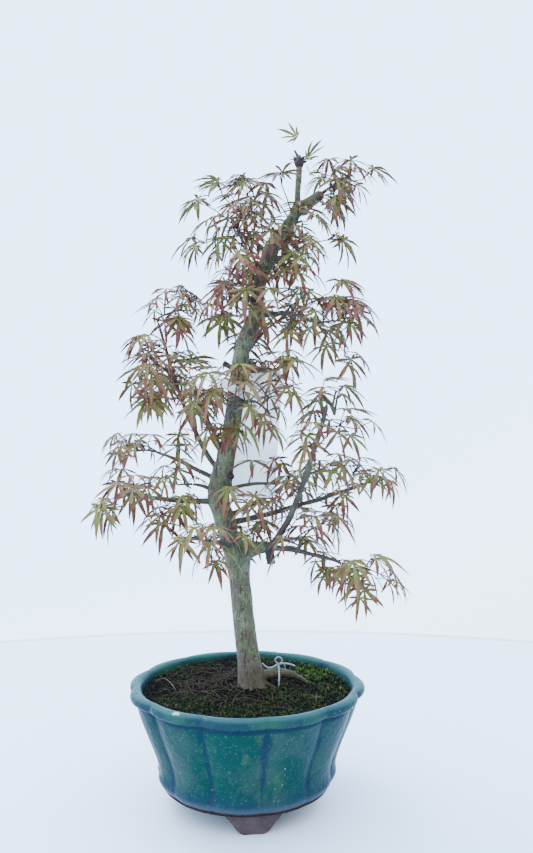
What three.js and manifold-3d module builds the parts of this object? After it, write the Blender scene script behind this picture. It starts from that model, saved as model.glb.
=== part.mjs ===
// Potted Japanese maple bonsai: a curved trunk with its boughs and leaf masses,
// in a twelve-lobed glazed bowl on three clay feet, with soil and a blank tag.
// Millimetres, +Z up. The origin is on the table, under the middle of the bowl;
// -Y is the front of the plant and +X its right-hand side.
import * as THREE from "three";
import { mergeVertices } from "three/addons/utils/BufferGeometryUtils.js";
import Module from "manifold-3d";

const wasm = await Module();
wasm.setup();

// ---------------------------------------------------------------- bowl and soil
const RIM_HEIGHT = 98; // table to the top of the lip
const RIM_RADIUS = 100; // outer edge of the lip, the widest part of the bowl
const MOUTH_RADIUS = 88; // inner edge of the lip
const LIP_DEPTH = 12; // height of the overhanging lip
const FOOT_HEIGHT = 17; // table to the flat underside of the bowl
const WALL = 8;
const SHOULDER_RADIUS = 91; // wall just under the lip
const WAIST_RADIUS = 74.5; // narrowest place, above the base band
const WAIST_HEIGHT = 31;
const BASE_RADIUS = 75.5; // base band
const UNDERSIDE_RADIUS = 71; // flat ring that the feet carry
const DRAIN_RADIUS = 9;
const LOBES = 12;
const FIRST_GROOVE = 9; // degrees from the front, towards the right
const LOBE_STEPS = 4; // facets across one lobe
const GROOVE_DEPTH = 4.5; // on the wall; the lip and the base have less
const GROOVE_SHARPNESS = 0.6;

const SOIL_EDGE = 88; // height of the soil at the wall
const SOIL_TOP = 92; // height of the level soil round the trunk
const SOIL_LEVEL_RADIUS = 34;
const SOIL_SIDES = 24;
const SOIL_GAP = 0.5;

const FOOT_WIDTH = 46;
const FOOT_TREAD = 20; // width of a foot's flat underside
const FOOT_DEPTH = 16;
const FOOT_OUT = 64; // outer face of a foot, from the middle of the bowl
const FOOT_SLOPE = 3; // how far the outer face leans in at the table
const FOOT_TURNS = { foot_front: 5, foot_right: 125, foot_left: 245 }; // degrees from the front

// ---------------------------------------------------------------- trunk and boughs
const GAP = 0.3; // clear space between neighbouring solids
const TRUNK_SIDES = 9;
const TRUNK_STEP = 18;
const TRUNK_FOOT_RADIUS = 9.4;
const TRUNK_TIP_RADIUS = 4.7;
const TAPER = 1.5; // how late the trunk thins
const FLARE = 5.8; // extra radius of the root flare at the soil
const FLARE_HEIGHT = 9;
// The trunk's bends, from the flat cut at the soil to the fork: across, back, height.
const TRUNK_BENDS = [
  [4.2, -6, SOIL_TOP],
  [-3, -2.5, 150],
  [-9, 2, 196],
  [-24.5, 6, 252],
  [-21, 6, 275],
  [-14.6, 3.5, 310],
  [-9.5, -2.5, 345],
  [-4.6, -3.5, 380],
  [6.5, 3, 411],
  [12, 6, 447],
  [25, 3, 478],
  [47, 0, 509.5],
];
// Swellings where boughs leave the trunk: height, extra radius, half-length.
const COLLARS = [
  [198, 0.5, 9],
  [262, 1.0, 15],
  [397, 1.3, 9],
  [460, 0.8, 11],
];
// Surface roots that run out from the flare: bearing, reach, radius at the flare.
const ROOTS = [
  [-8, 33, 3.6],
  [62, 22, 2.8],
  [150, 24, 3.2],
  [205, 31, 3.0],
  [268, 24, 3.4],
  [318, 22, 2.8],
];
const ROOT_SIDES = 5;

const BOUGH_SIDES = 6;
const BOUGH_STEP = 18;
// Each bough leaves its carrier at a height on the trunk, or at a share of another
// bough's length, and ends where it enters its leaves. The columns are: name,
// carrier, where, bearing in degrees from +X, reach, climb, arch (rise of the
// middle above the chord), swing (sideways), radius at the root, radius at the tip.
const BOUGHS = [
  ["bough_low_stub", "trunk", 199, -21, 32, 13, 2.8, 0.5, 6.2, 4.6],
  ["bough_right_rising", "bough_low_stub", 1, -29, 52, 119, -19.6, -3.2, 3, 1.9],
  ["bough_right_low", "bough_low_stub", 0.8, -6, 66, -13, 2.9, -4, 2.6, 1.3],
  ["bough_right_near", "bough_low_stub", 0.9, -45, 34, 9, 1.5, 2, 2, 1.3],
  ["bough_left_inner", "trunk", 256, 162, 25, 8, 1.6, 0.5, 2, 1.3],
  ["bough_right_long", "trunk", 230, 4, 125, 35, -2.7, 2.4, 2.6, 1.5],
  ["bough_right_inner", "trunk", 258, -1, 51, 7, 2.8, -1.4, 1.8, 1.2],
  ["bough_right_back", "trunk", 236, 36, 66, 26, -0.6, -6.7, 2.2, 1.3],
  ["bough_left_long", "trunk", 249, -167, 81, 8, -1.6, 1.6, 2.8, 1.4],
  ["bough_left_upper", "trunk", 266, 162, 63, 27, 1.6, 0.2, 2.3, 1.3],
  ["bough_left_tall", "trunk", 273, 165, 62, 137, -20.6, -1.2, 2.5, 1.3],
  ["bough_left_spur", "bough_left_tall", 0.7, -121, 36, 14, 7.2, -1.5, 1.5, 1.1],
  ["bough_centre_left", "trunk", 284, -143, 19, 37, 0, 0.3, 2.2, 1.3],
  ["bough_front", "trunk", 316, -89, 37, 12, 1.8, -2.5, 2, 1.3],
  ["bough_back", "trunk", 375, 89, 44, 11, 0.9, -2.2, 2, 1.3],
  ["bough_front_right", "trunk", 327, -44, 27, 7, 4.3, -0.1, 1.8, 1.2],
  ["bough_high_mid", "trunk", 367, 48, 32, 34, 1.2, 1.3, 2.3, 1.4],
  ["bough_right_spur", "trunk", 363, 15, 31, 2, 0, 0.1, 3, 1.6],
  ["bough_high_right", "trunk", 410, -13, 49, -3, 4.8, 0.9, 2.4, 1.3],
  ["bough_high_left", "trunk", 424, 174, 22, 3, 2.4, -0.3, 1.7, 1.2],
  ["bough_top_spur", "trunk", 461, -33, 20, 2, 0.7, 0.3, 3.2, 1.8],
  ["bough_top_left", "trunk", 466, 166, 24, 20, 3.2, -0.4, 2.3, 1.4],
  ["bough_front_low", "trunk", 209, -112, 42, 10, 0.4, 1.2, 2.5, 1.5],
  ["bough_back_low", "trunk", 220, 96, 38, 1, 1.1, -2.5, 2.3, 1.4],
  ["fork_right", "trunk", 508, -6, 21, 14, -1, 0.2, 4.6, 4.4],
  ["fork_up", "trunk", 505, -14, 2, 43, 2.2, 0, 3.2, 3.8],
];

// ---------------------------------------------------------------- leaf masses
// Each mass keeps to its own rounded space. The columns are: name, carrier, height
// and bearing of its stem where the trunk carries it, the space (middle x, y, z and
// half its width, depth and height), shoots, leaf size (length of the middle lobe),
// least droop of a leaf in degrees, seed.
const MASSES = [
  ["leaves_top_tip", "fork_up", 0, 0, [43, 0, 553, 28, 26, 34], 2, 17, -60, 22],
  ["leaves_top_right", "fork_right", 0, 0, [82, 0, 530, 34, 32, 34], 4, 22, 22, 250],
  ["leaves_top_left", "bough_top_left", 0, 0, [-5, 10, 494, 41, 36, 51], 5, 23, 22, 437],
  ["leaves_top_front", "trunk", 484, -80, [19, -26, 474, 30, 22, 27], 3, 20, 22, 221],
  ["leaves_top_spur", "bough_top_spur", 0, 0, [43, -14, 457, 34, 30, 34], 4, 22, 22, 222],
  ["leaves_high_left", "bough_high_left", 0, 0, [-18, 8, 417, 33, 34, 36], 4, 23, 22, 223],
  ["leaves_high_right", "bough_high_right", 0, 0, [74, -8, 398, 41, 38, 39], 4, 24, 22, 224],
  ["leaves_high_mid", "bough_high_mid", 0, 0, [40, 32, 418, 38, 30, 35], 4, 22, 22, 101],
  ["leaves_right_spur", "bough_right_spur", 0, 0, [29, 2, 368, 25, 24, 25], 2, 20, 22, 381],
  ["leaves_left_tip", "bough_left_tall", 0, 0, [-70, 24, 412, 35, 28, 34], 4, 20, 8, 413],
  ["leaves_left_spur", "bough_left_spur", 0, 0, [-85, -18, 348, 33, 30, 32], 4, 24, 22, 259],
  ["leaves_centre_left", "bough_centre_left", 0, 0, [-44, -10, 331, 26, 32, 30], 4, 23, 22, 105],
  ["leaves_front", "bough_front", 0, 0, [-8, -44, 326, 24, 24, 30], 3, 23, 22, 44],
  ["leaves_front_right", "bough_front_right", 0, 0, [18, -24, 320, 23, 18, 34], 3, 22, 22, 169],
  ["leaves_right_upper", "bough_right_rising", 0, 0, [67, -32, 325, 38, 32, 33], 4, 23, 22, 263],
  ["leaves_right_inner", "bough_right_inner", 0, 0, [32, 2, 270, 24, 20, 30], 2, 20, 22, 326],
  ["leaves_right_back", "bough_right_back", 0, 0, [63, 46, 272, 31, 28, 29], 3, 21, 22, 234],
  ["leaves_right_end", "bough_right_long", 0, 0, [111, 14, 262, 32, 28, 21], 3, 23, 22, 359],
  ["leaves_left_upper", "bough_left_upper", 0, 0, [-107, 32, 289, 35, 30, 29], 4, 22, 22, 267],
  ["leaves_left_end", "bough_left_long", 0, 0, [-92, -20, 254, 34, 32, 26], 4, 23, 22, 113],
  ["leaves_front_low", "bough_front_low", 0, 0, [-33, -48, 215, 44, 32, 25], 5, 24, 22, 269],
  ["leaves_back_low", "bough_back_low", 0, 0, [-16, 50, 208, 32, 28, 26], 3, 22, 22, 363],
  ["leaves_right_low", "bough_right_near", 0, 0, [38, -30, 213, 35, 32, 34], 4, 24, 22, 488],
  ["leaves_right_tail", "bough_right_low", 0, 0, [93, -14, 173, 29, 26, 36], 3, 22, 34, 118],
  ["leaves_left_inner", "bough_left_inner", 0, 0, [-58, 10, 263, 31, 26, 37], 3, 22, 22, 367],
  ["leaves_back", "bough_back", 0, 0, [-7, 58, 353, 38, 30, 48], 3, 23, 22, 148],
];

// A leaf is a palm of five long lobes: angle from the middle lobe, share of its length.
const LEAF_LOBES = [
  [-112, 0.58],
  [-55, 0.86],
  [0, 1],
  [55, 0.86],
  [112, 0.58],
];
// Where neighbouring lobes part, and either side of the stalk: angle, share.
const LEAF_NOTCHES = [
  [-165, 0.12],
  [-84, 0.25],
  [-28, 0.25],
  [28, 0.25],
  [84, 0.25],
  [165, 0.12],
];
const LOBE_ROOT = [0.4, 0.115]; // the wide part of a lobe: share of its length, half width
const LOBE_TIP_HALF_WIDTH = 0.06;
const LOBE_DROOP = 0.26;
const LEAF_THICKNESS = 0.05; // at the middle, as a share of the middle lobe
const STEEPEST = 64; // degrees between a leaf stalk and its blade
const LEAF_PAIRS = [0.4, 0.72]; // places of the leaf pairs along a shoot
const STALK_ROOT = 0.4; // how far the stalk runs on through its twig
const STALK_RADIUS = 0.45;
const TWIG_TIP_RADIUS = 0.8;
const CLEARANCE = 0.6; // kept to limbs, the tag and the neighbouring masses
// Grids that points are welded on, to test that a mass stays closed: cell, shift.
const WELD_GRIDS = [
  [1e-4, 0],
  [1e-4, 0.5],
  [1e-3, 0],
  [1e-3, 0.5],
];
const LEAF_OVERLAP = 0.6; // how far the rounded bars of one mass's leaves may overlap

// ---------------------------------------------------------------- blank tag
const TAG_WIDTH = 40;
const TAG_THICKNESS = 1;
const TAG_FOOT = [4, 17.4, 252]; // middle of the lower edge
const TAG_LENGTH = 112;
const TAG_TURN = 4; // degrees, top towards the right
const TAG_LEAN = 3; // degrees, top towards the front
const TAG_BAND = { x: -9.5, y: 0.4, radius: 11.8, low: 348, height: 10 };

// ---------------------------------------------------------------- small helpers
const vec = (x, y, z) => new THREE.Vector3(x, y, z);
const plus = (a, b, k = 1) => a.clone().addScaledVector(b, k);
const minus = (a, b) => a.clone().sub(b);
const blend = (a, b, t) => a.clone().addScaledVector(minus(b, a), t);
const unit = (a) => a.clone().normalize();
const cross = (a, b) => a.clone().cross(b);
const { cos, sin, min, max, sqrt, exp, round } = Math;
const rad = THREE.MathUtils.degToRad;
const UP = vec(0, 0, 1);

// A point on a bow from a to b that starts out towards c.
function bow(a, c, b, t) {
  const s = 1 - t;
  return a.clone().multiplyScalar(s * s).addScaledVector(c, 2 * s * t).addScaledVector(b, t * t);
}

// A seeded die: each call gives the next number from 0 to 1.
function dice(seed) {
  let state = seed * 7919 + 17;
  const roll = () => {
    state = (state * 1664525 + 1013904223) % 4294967296;
    return state / 4294967296;
  };
  for (let i = 0; i < 4; i++) roll();
  return roll;
}

// Least distance between the segments p-q and a-b.
function segmentGap(p, q, a, b) {
  const d1 = minus(q, p);
  const d2 = minus(b, a);
  const r = minus(p, a);
  const A = d1.dot(d1);
  const E = d2.dot(d2);
  const F = d2.dot(r);
  const C = d1.dot(r);
  const B = d1.dot(d2);
  const den = A * E - B * B;
  let s = den > 1e-9 ? min(1, max(0, (B * F - C * E) / den)) : 0;
  let t = E > 1e-12 ? (B * s + F) / E : 0;
  if (t < 0) {
    t = 0;
    s = A > 1e-12 ? min(1, max(0, -C / A)) : 0;
  } else if (t > 1) {
    t = 1;
    s = A > 1e-12 ? min(1, max(0, (B - C) / A)) : 0;
  }
  return plus(p, d1, s).distanceTo(plus(a, d2, t));
}

// ---------------------------------------------------------------- solids
function solidOf(geometry) {
  const g = geometry.clone();
  g.deleteAttribute("normal");
  g.deleteAttribute("uv");
  const merged = mergeVertices(g, 1e-4);
  return new wasm.Manifold(
    new wasm.Mesh({
      numProp: 3,
      vertProperties: new Float32Array(merged.attributes.position.array),
      triVerts: new Uint32Array(merged.index.array),
    }),
  );
}

function geometryOf(solid) {
  const { vertProperties, triVerts } = solid.getMesh();
  const g = new THREE.BufferGeometry();
  g.setAttribute("position", new THREE.BufferAttribute(new Float32Array(vertProperties), 3));
  g.setIndex(new THREE.BufferAttribute(new Uint32Array(triVerts), 1));
  g.computeVertexNormals();
  return g;
}

// The largest of a solid's separate bodies: cutting can leave loose scraps.
function largest(solid) {
  return solid.decompose().reduce((a, b) => (a.volume() > b.volume() ? a : b));
}

// A polygonal bar drawn along a path: pathAt(t) gives its middle and radiusAt(t)
// its radius. level keeps the first section horizontal.
function bar(pathAt, radiusAt, sides, steps, level = false) {
  const section = new THREE.Shape();
  for (let i = 0; i < sides; i++) {
    const a = (2 * Math.PI * i) / sides;
    if (i === 0) section.moveTo(cos(a), sin(a));
    else section.lineTo(cos(a), sin(a));
  }
  const g = new THREE.ExtrudeGeometry(section, { depth: 1, steps, bevelEnabled: false });
  const rings = [];
  let side = null;
  for (let i = 0; i <= steps; i++) {
    const t = i / steps;
    const ahead = unit(minus(pathAt(min(1, t + 0.02)), pathAt(max(0, t - 0.02))));
    if (level && i === 0) ahead.set(0, 0, 1);
    side = side ?? (Math.abs(ahead.z) < 0.9 ? cross(UP, ahead) : vec(1, 0, 0));
    side = unit(plus(side, ahead, -side.dot(ahead)));
    rings.push({ middle: pathAt(t), across: side.clone(), over: cross(ahead, side), radius: radiusAt(t) });
  }
  const spot = g.attributes.position;
  for (let i = 0; i < spot.count; i++) {
    const ring = rings[round(spot.getZ(i) * steps)];
    const aside = plus(ring.middle, ring.across, spot.getX(i) * ring.radius);
    const p = plus(aside, ring.over, spot.getY(i) * ring.radius);
    spot.setXYZ(i, p.x, p.y, p.z);
  }
  return solidOf(g);
}

// ---------------------------------------------------------------- bowl, soil, feet
// How deep the groove is at an angle from the front: 1 in a groove, 0 on a lobe.
function groove(angle) {
  const turn = (angle - rad(FIRST_GROOVE)) * (LOBES / 2);
  return 1 - Math.abs(sin(turn)) ** GROOVE_SHARPNESS;
}

function bowl() {
  const lipFoot = RIM_HEIGHT - LIP_DEPTH;
  const floor = FOOT_HEIGHT + WALL;
  // radius, height, share of the groove depth
  const outline = [
    [DRAIN_RADIUS, FOOT_HEIGHT, 0],
    [UNDERSIDE_RADIUS, FOOT_HEIGHT, 0.2],
    [BASE_RADIUS, FOOT_HEIGHT + 6, 0.4],
    [WAIST_RADIUS, WAIST_HEIGHT, 0.6],
    [WAIST_RADIUS + 6.5, 50, 0.9],
    [SHOULDER_RADIUS - 3, 68, 1],
    [SHOULDER_RADIUS, 78, 1],
    [RIM_RADIUS - 1.5, lipFoot - 1.5, 0.9],
    [RIM_RADIUS, lipFoot + 5, 0.6],
    [RIM_RADIUS - 5, RIM_HEIGHT, 0.4],
    [MOUTH_RADIUS + 2, RIM_HEIGHT - 0.6, 0],
    [MOUTH_RADIUS, RIM_HEIGHT - 4, 0],
    [SHOULDER_RADIUS - WALL - 4, 66, 0],
    [WAIST_RADIUS - WALL, 34, 0],
    [WAIST_RADIUS - WALL - 8, floor, 0],
    [DRAIN_RADIUS, floor, 0],
    [DRAIN_RADIUS, FOOT_HEIGHT, 0],
  ];
  const g = new THREE.LatheGeometry(
    outline.map(([r, z]) => new THREE.Vector2(r, z)),
    LOBES * LOBE_STEPS,
    rad(FIRST_GROOVE),
  );
  const spot = g.attributes.position;
  for (let i = 0; i < spot.count; i++) {
    const share = outline[i % outline.length][2];
    const x = spot.getX(i);
    const z = spot.getZ(i);
    const k = 1 - (share * GROOVE_DEPTH * groove(Math.atan2(x, z))) / Math.hypot(x, z);
    spot.setXYZ(i, x * k, spot.getY(i), z * k);
  }
  return g.rotateX(Math.PI / 2);
}

function soil() {
  const floor = FOOT_HEIGHT + WALL;
  const outline = [
    [0, floor],
    [WAIST_RADIUS - WALL - 8 - SOIL_GAP, floor],
    [WAIST_RADIUS - WALL - SOIL_GAP, 34],
    [SHOULDER_RADIUS - WALL - 4 - SOIL_GAP, 66],
    [MOUTH_RADIUS - 2.5, SOIL_EDGE],
    [62, (SOIL_EDGE + SOIL_TOP) / 2 + 0.6],
    [SOIL_LEVEL_RADIUS, SOIL_TOP],
    [0, SOIL_TOP],
  ];
  const points = outline.map(([r, z]) => new THREE.Vector2(r, z));
  return new THREE.LatheGeometry(points, SOIL_SIDES).rotateX(Math.PI / 2);
}

// A clay foot: a tongue that narrows in soft curves to its flat tread.
function foot(turn) {
  const half = FOOT_WIDTH / 2;
  const tread = FOOT_TREAD / 2;
  const face = new THREE.Shape();
  face.moveTo(-tread, 0);
  face.lineTo(tread, 0);
  face.bezierCurveTo(tread + 6, 0, half - 5, FOOT_HEIGHT * 0.45, half, FOOT_HEIGHT);
  face.lineTo(-half, FOOT_HEIGHT);
  face.bezierCurveTo(5 - half, FOOT_HEIGHT * 0.45, -tread - 6, 0, -tread, 0);
  const g = new THREE.ExtrudeGeometry(face, { depth: 1, curveSegments: 6, bevelEnabled: false });
  const spot = g.attributes.position;
  for (let i = 0; i < spot.count; i++) {
    const height = spot.getY(i);
    const outer = FOOT_OUT - FOOT_SLOPE * (1 - height / FOOT_HEIGHT);
    spot.setXYZ(i, spot.getX(i), spot.getZ(i) * FOOT_DEPTH - outer, height);
  }
  g.rotateZ(rad(turn));
  return turned(g);
}

// The same faces with their winding turned round.
function turned(geometry) {
  const g = geometry.index ? geometry.toNonIndexed() : geometry;
  const spot = g.attributes.position.array;
  for (let i = 0; i < spot.length; i += 9) {
    for (let k = 3; k < 6; k++) [spot[i + k], spot[i + k + 3]] = [spot[i + k + 3], spot[i + k]];
  }
  return g;
}

// ---------------------------------------------------------------- trunk
const trunkFoot = TRUNK_BENDS[0][2];
const trunkTip = TRUNK_BENDS[TRUNK_BENDS.length - 1][2];

// The trunk's middle at a height: a smooth curve through the bends.
function trunkAt(z) {
  const bends = TRUNK_BENDS;
  const last = bends.length - 1;
  let i = 0;
  while (i < last - 1 && z > bends[i + 1][2]) i++;
  const slope = (k, axis) => {
    const [a, b] = [bends[max(0, k - 1)], bends[min(last, k + 1)]];
    return (b[axis] - a[axis]) / (b[2] - a[2]);
  };
  const [a, b] = [bends[i], bends[i + 1]];
  const h = b[2] - a[2];
  const t = (z - a[2]) / h;
  const at = (axis) =>
    (2 * t ** 3 - 3 * t * t + 1) * a[axis] +
    (t ** 3 - 2 * t * t + t) * h * slope(i, axis) +
    (3 * t * t - 2 * t ** 3) * b[axis] +
    (t ** 3 - t * t) * h * slope(i + 1, axis);
  return vec(at(0), at(1), z);
}

function trunkRadius(z) {
  const rise = (z - trunkFoot) / (trunkTip - trunkFoot);
  let r = TRUNK_FOOT_RADIUS - (TRUNK_FOOT_RADIUS - TRUNK_TIP_RADIUS) * rise ** TAPER;
  r += FLARE * exp(-(z - trunkFoot) / FLARE_HEIGHT);
  for (const [height, extra, half] of COLLARS) r += extra * exp(-(((z - height) / half) ** 2));
  return r;
}

const trunkAxis = (z) => unit(minus(trunkAt(z + 1), trunkAt(z - 1)));

function trunkBar(swell) {
  // close rings in the flare, then even ones
  const flareSteps = 3;
  const steps = flareSteps + round((trunkTip - trunkFoot) / TRUNK_STEP);
  const heightAt = (t) => {
    const ring = t * steps;
    if (ring <= flareSteps) return trunkFoot + (ring * TRUNK_STEP) / flareSteps / 1.5;
    const start = trunkFoot + TRUNK_STEP / 1.5;
    return start + ((trunkTip - start) * (ring - flareSteps)) / (steps - flareSteps);
  };
  const path = (t) => trunkAt(heightAt(t));
  return bar(path, (t) => trunkRadius(heightAt(t)) + swell, TRUNK_SIDES, steps, true);
}

function trunk() {
  let solid = trunkBar(0);
  const foot = trunkAt(trunkFoot);
  for (const [bearing, reach, thick] of ROOTS) {
    const out = vec(cos(rad(bearing)), sin(rad(bearing)), 0);
    const start = plus(plus(foot, out, 4), UP, 6);
    const end = plus(plus(foot, out, reach), UP, -0.2);
    const knee = plus(plus(foot, out, 13), UP, 0.8);
    const root = bar((t) => bow(start, knee, end, t), (t) => thick * (1 - 0.7 * t), ROOT_SIDES, 4);
    solid = solid.add(root);
  }
  // the flat cut at the soil
  const above = new THREE.BoxGeometry(200, 200, 600).translate(0, 0, trunkFoot + 300);
  return largest(solid.intersect(solidOf(above)));
}

// ---------------------------------------------------------------- boughs
const boughs = new Map();

function layOutBoughs() {
  for (const [name, carrier, where, bearing, reach, climb, arch, swing, thick, thin] of BOUGHS) {
    const start = carrier === "trunk" ? trunkAt(where) : boughs.get(carrier).at(where);
    const out = vec(cos(rad(bearing)), sin(rad(bearing)), 0);
    const tip = plus(plus(start, out, reach), UP, climb);
    const sideways = vec(-out.y, out.x, 0);
    const bend = plus(plus(blend(start, tip, 0.5), sideways, 2 * swing), UP, 2 * arch);
    const at = (t) => bow(start, bend, tip, t);
    const length = tip.distanceTo(start);
    boughs.set(name, { at, tip, thick, thin, length });
  }
}

// A bough as a tapering bar that starts inside its carrier, cut clear of the trunk
// and of the boughs made before it.
function boughSolids() {
  const solids = new Map();
  const swollen = [trunkBar(GAP)];
  for (const [name, { at, thick, thin, length }] of boughs) {
    const steps = max(2, round(length / BOUGH_STEP));
    const radius = (t) => thick + (thin - thick) * t;
    let solid = bar(at, radius, BOUGH_SIDES, steps);
    for (const other of swollen) solid = solid.subtract(other);
    solids.set(name, largest(solid).simplify(0.02));
    swollen.push(bar(at, (t) => radius(t) + GAP, BOUGH_SIDES, steps));
  }
  return { solids, swollen };
}

// ---------------------------------------------------------------- what leaves avoid
// Rounded bars [from, to, radius] that stand for the trunk, the boughs and the tag.
function obstacles() {
  const bars = [];
  for (let z = trunkFoot; z + 6 <= trunkTip + 2.5; z += 6) {
    bars.push([trunkAt(z), trunkAt(min(z + 6, trunkTip)), trunkRadius(z + 3)]);
  }
  for (const { at, thick, thin } of boughs.values()) {
    for (let i = 0; i < 8; i++) {
      bars.push([at(i / 8), at((i + 1) / 8), thick + ((thin - thick) * i) / 8]);
    }
  }
  const slant = vec(TAG_LENGTH * sin(rad(TAG_TURN)), -TAG_LENGTH * sin(rad(TAG_LEAN)), TAG_LENGTH);
  for (let i = 0; i < 6; i++) {
    const x = TAG_FOOT[0] + ((i - 2.5) * TAG_WIDTH) / 6;
    const low = vec(x, TAG_FOOT[1], TAG_FOOT[2]);
    bars.push([low, plus(low, slant), 1.5]);
  }
  for (let i = 0; i < 8; i++) {
    const a = (i * Math.PI) / 4;
    const { x, y, radius, low, height } = TAG_BAND;
    const p = vec(x + radius * cos(a), y + radius * sin(a), low + 1);
    bars.push([p, plus(p, UP, height - 2), 3]);
  }
  return bars;
}

// ---------------------------------------------------------------- leaves
// Where a leaf lies: its heart at the end of the stalk, lobe tips and notches.
function layOutLeaf(root, stalkWay, stalk, way, size) {
  const heart = plus(root, unit(stalkWay), stalk);
  const ahead = unit(way);
  const side = unit(cross(ahead, UP));
  const over = unit(cross(side, ahead));
  const out = (angle, reach) =>
    plus(plus(heart, ahead, cos(rad(angle)) * reach), side, sin(rad(angle)) * reach);
  const tips = LEAF_LOBES.map(([angle, share]) =>
    plus(out(angle, share * size), over, -LOBE_DROOP * share * share * size),
  );
  const notches = LEAF_NOTCHES.map(([angle, share]) => out(angle, share * size));
  const [wide, halfWidth] = LOBE_ROOT;
  const bars = [[blend(root, heart, 0.3), heart, STALK_RADIUS + 0.1]];
  for (const tip of tips) {
    bars.push([heart, blend(heart, tip, wide), halfWidth * size]);
    bars.push([blend(heart, tip, wide), tip, LOBE_TIP_HALF_WIDTH * size]);
  }
  return { root, heart, over, size, tips, notches, bars };
}

// A leaf: a flat double pyramid whose rim runs out to the lobe tips, back to the
// notches, and out along the thin stalk to a root well inside the twig.
function leafSolid({ root, heart, over, size, tips, notches }) {
  const rim = [plus(root, unit(minus(root, heart)), STALK_ROOT), notches[0]];
  tips.forEach((tip, i) => rim.push(tip, notches[i + 1]));
  rim.reverse();
  const g = new THREE.SphereGeometry(1, rim.length, 2);
  const spot = g.attributes.position;
  const rowLength = rim.length + 1;
  for (let i = 0; i < spot.count; i++) {
    const row = Math.floor(i / rowLength);
    const apex = plus(heart, over, ((1 - row) * size * LEAF_THICKNESS) / 2);
    const p = row === 1 ? rim[(i % rowLength) % rim.length] : apex;
    spot.setXYZ(i, p.x, p.y, p.z);
  }
  return solidOf(g);
}

// Four rounded bars that stand for a twig on its bow.
const barsAlong = (from, bend, to, radius) =>
  [0, 1, 2, 3].map((i) => [bow(from, bend, to, i / 4), bow(from, bend, to, (i + 1) / 4), radius]);

function frameAcross(way) {
  const side = Math.abs(way.z) < 0.98 ? unit(cross(way, UP)) : vec(1, 0, 0);
  return [side, cross(side, way)];
}

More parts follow.
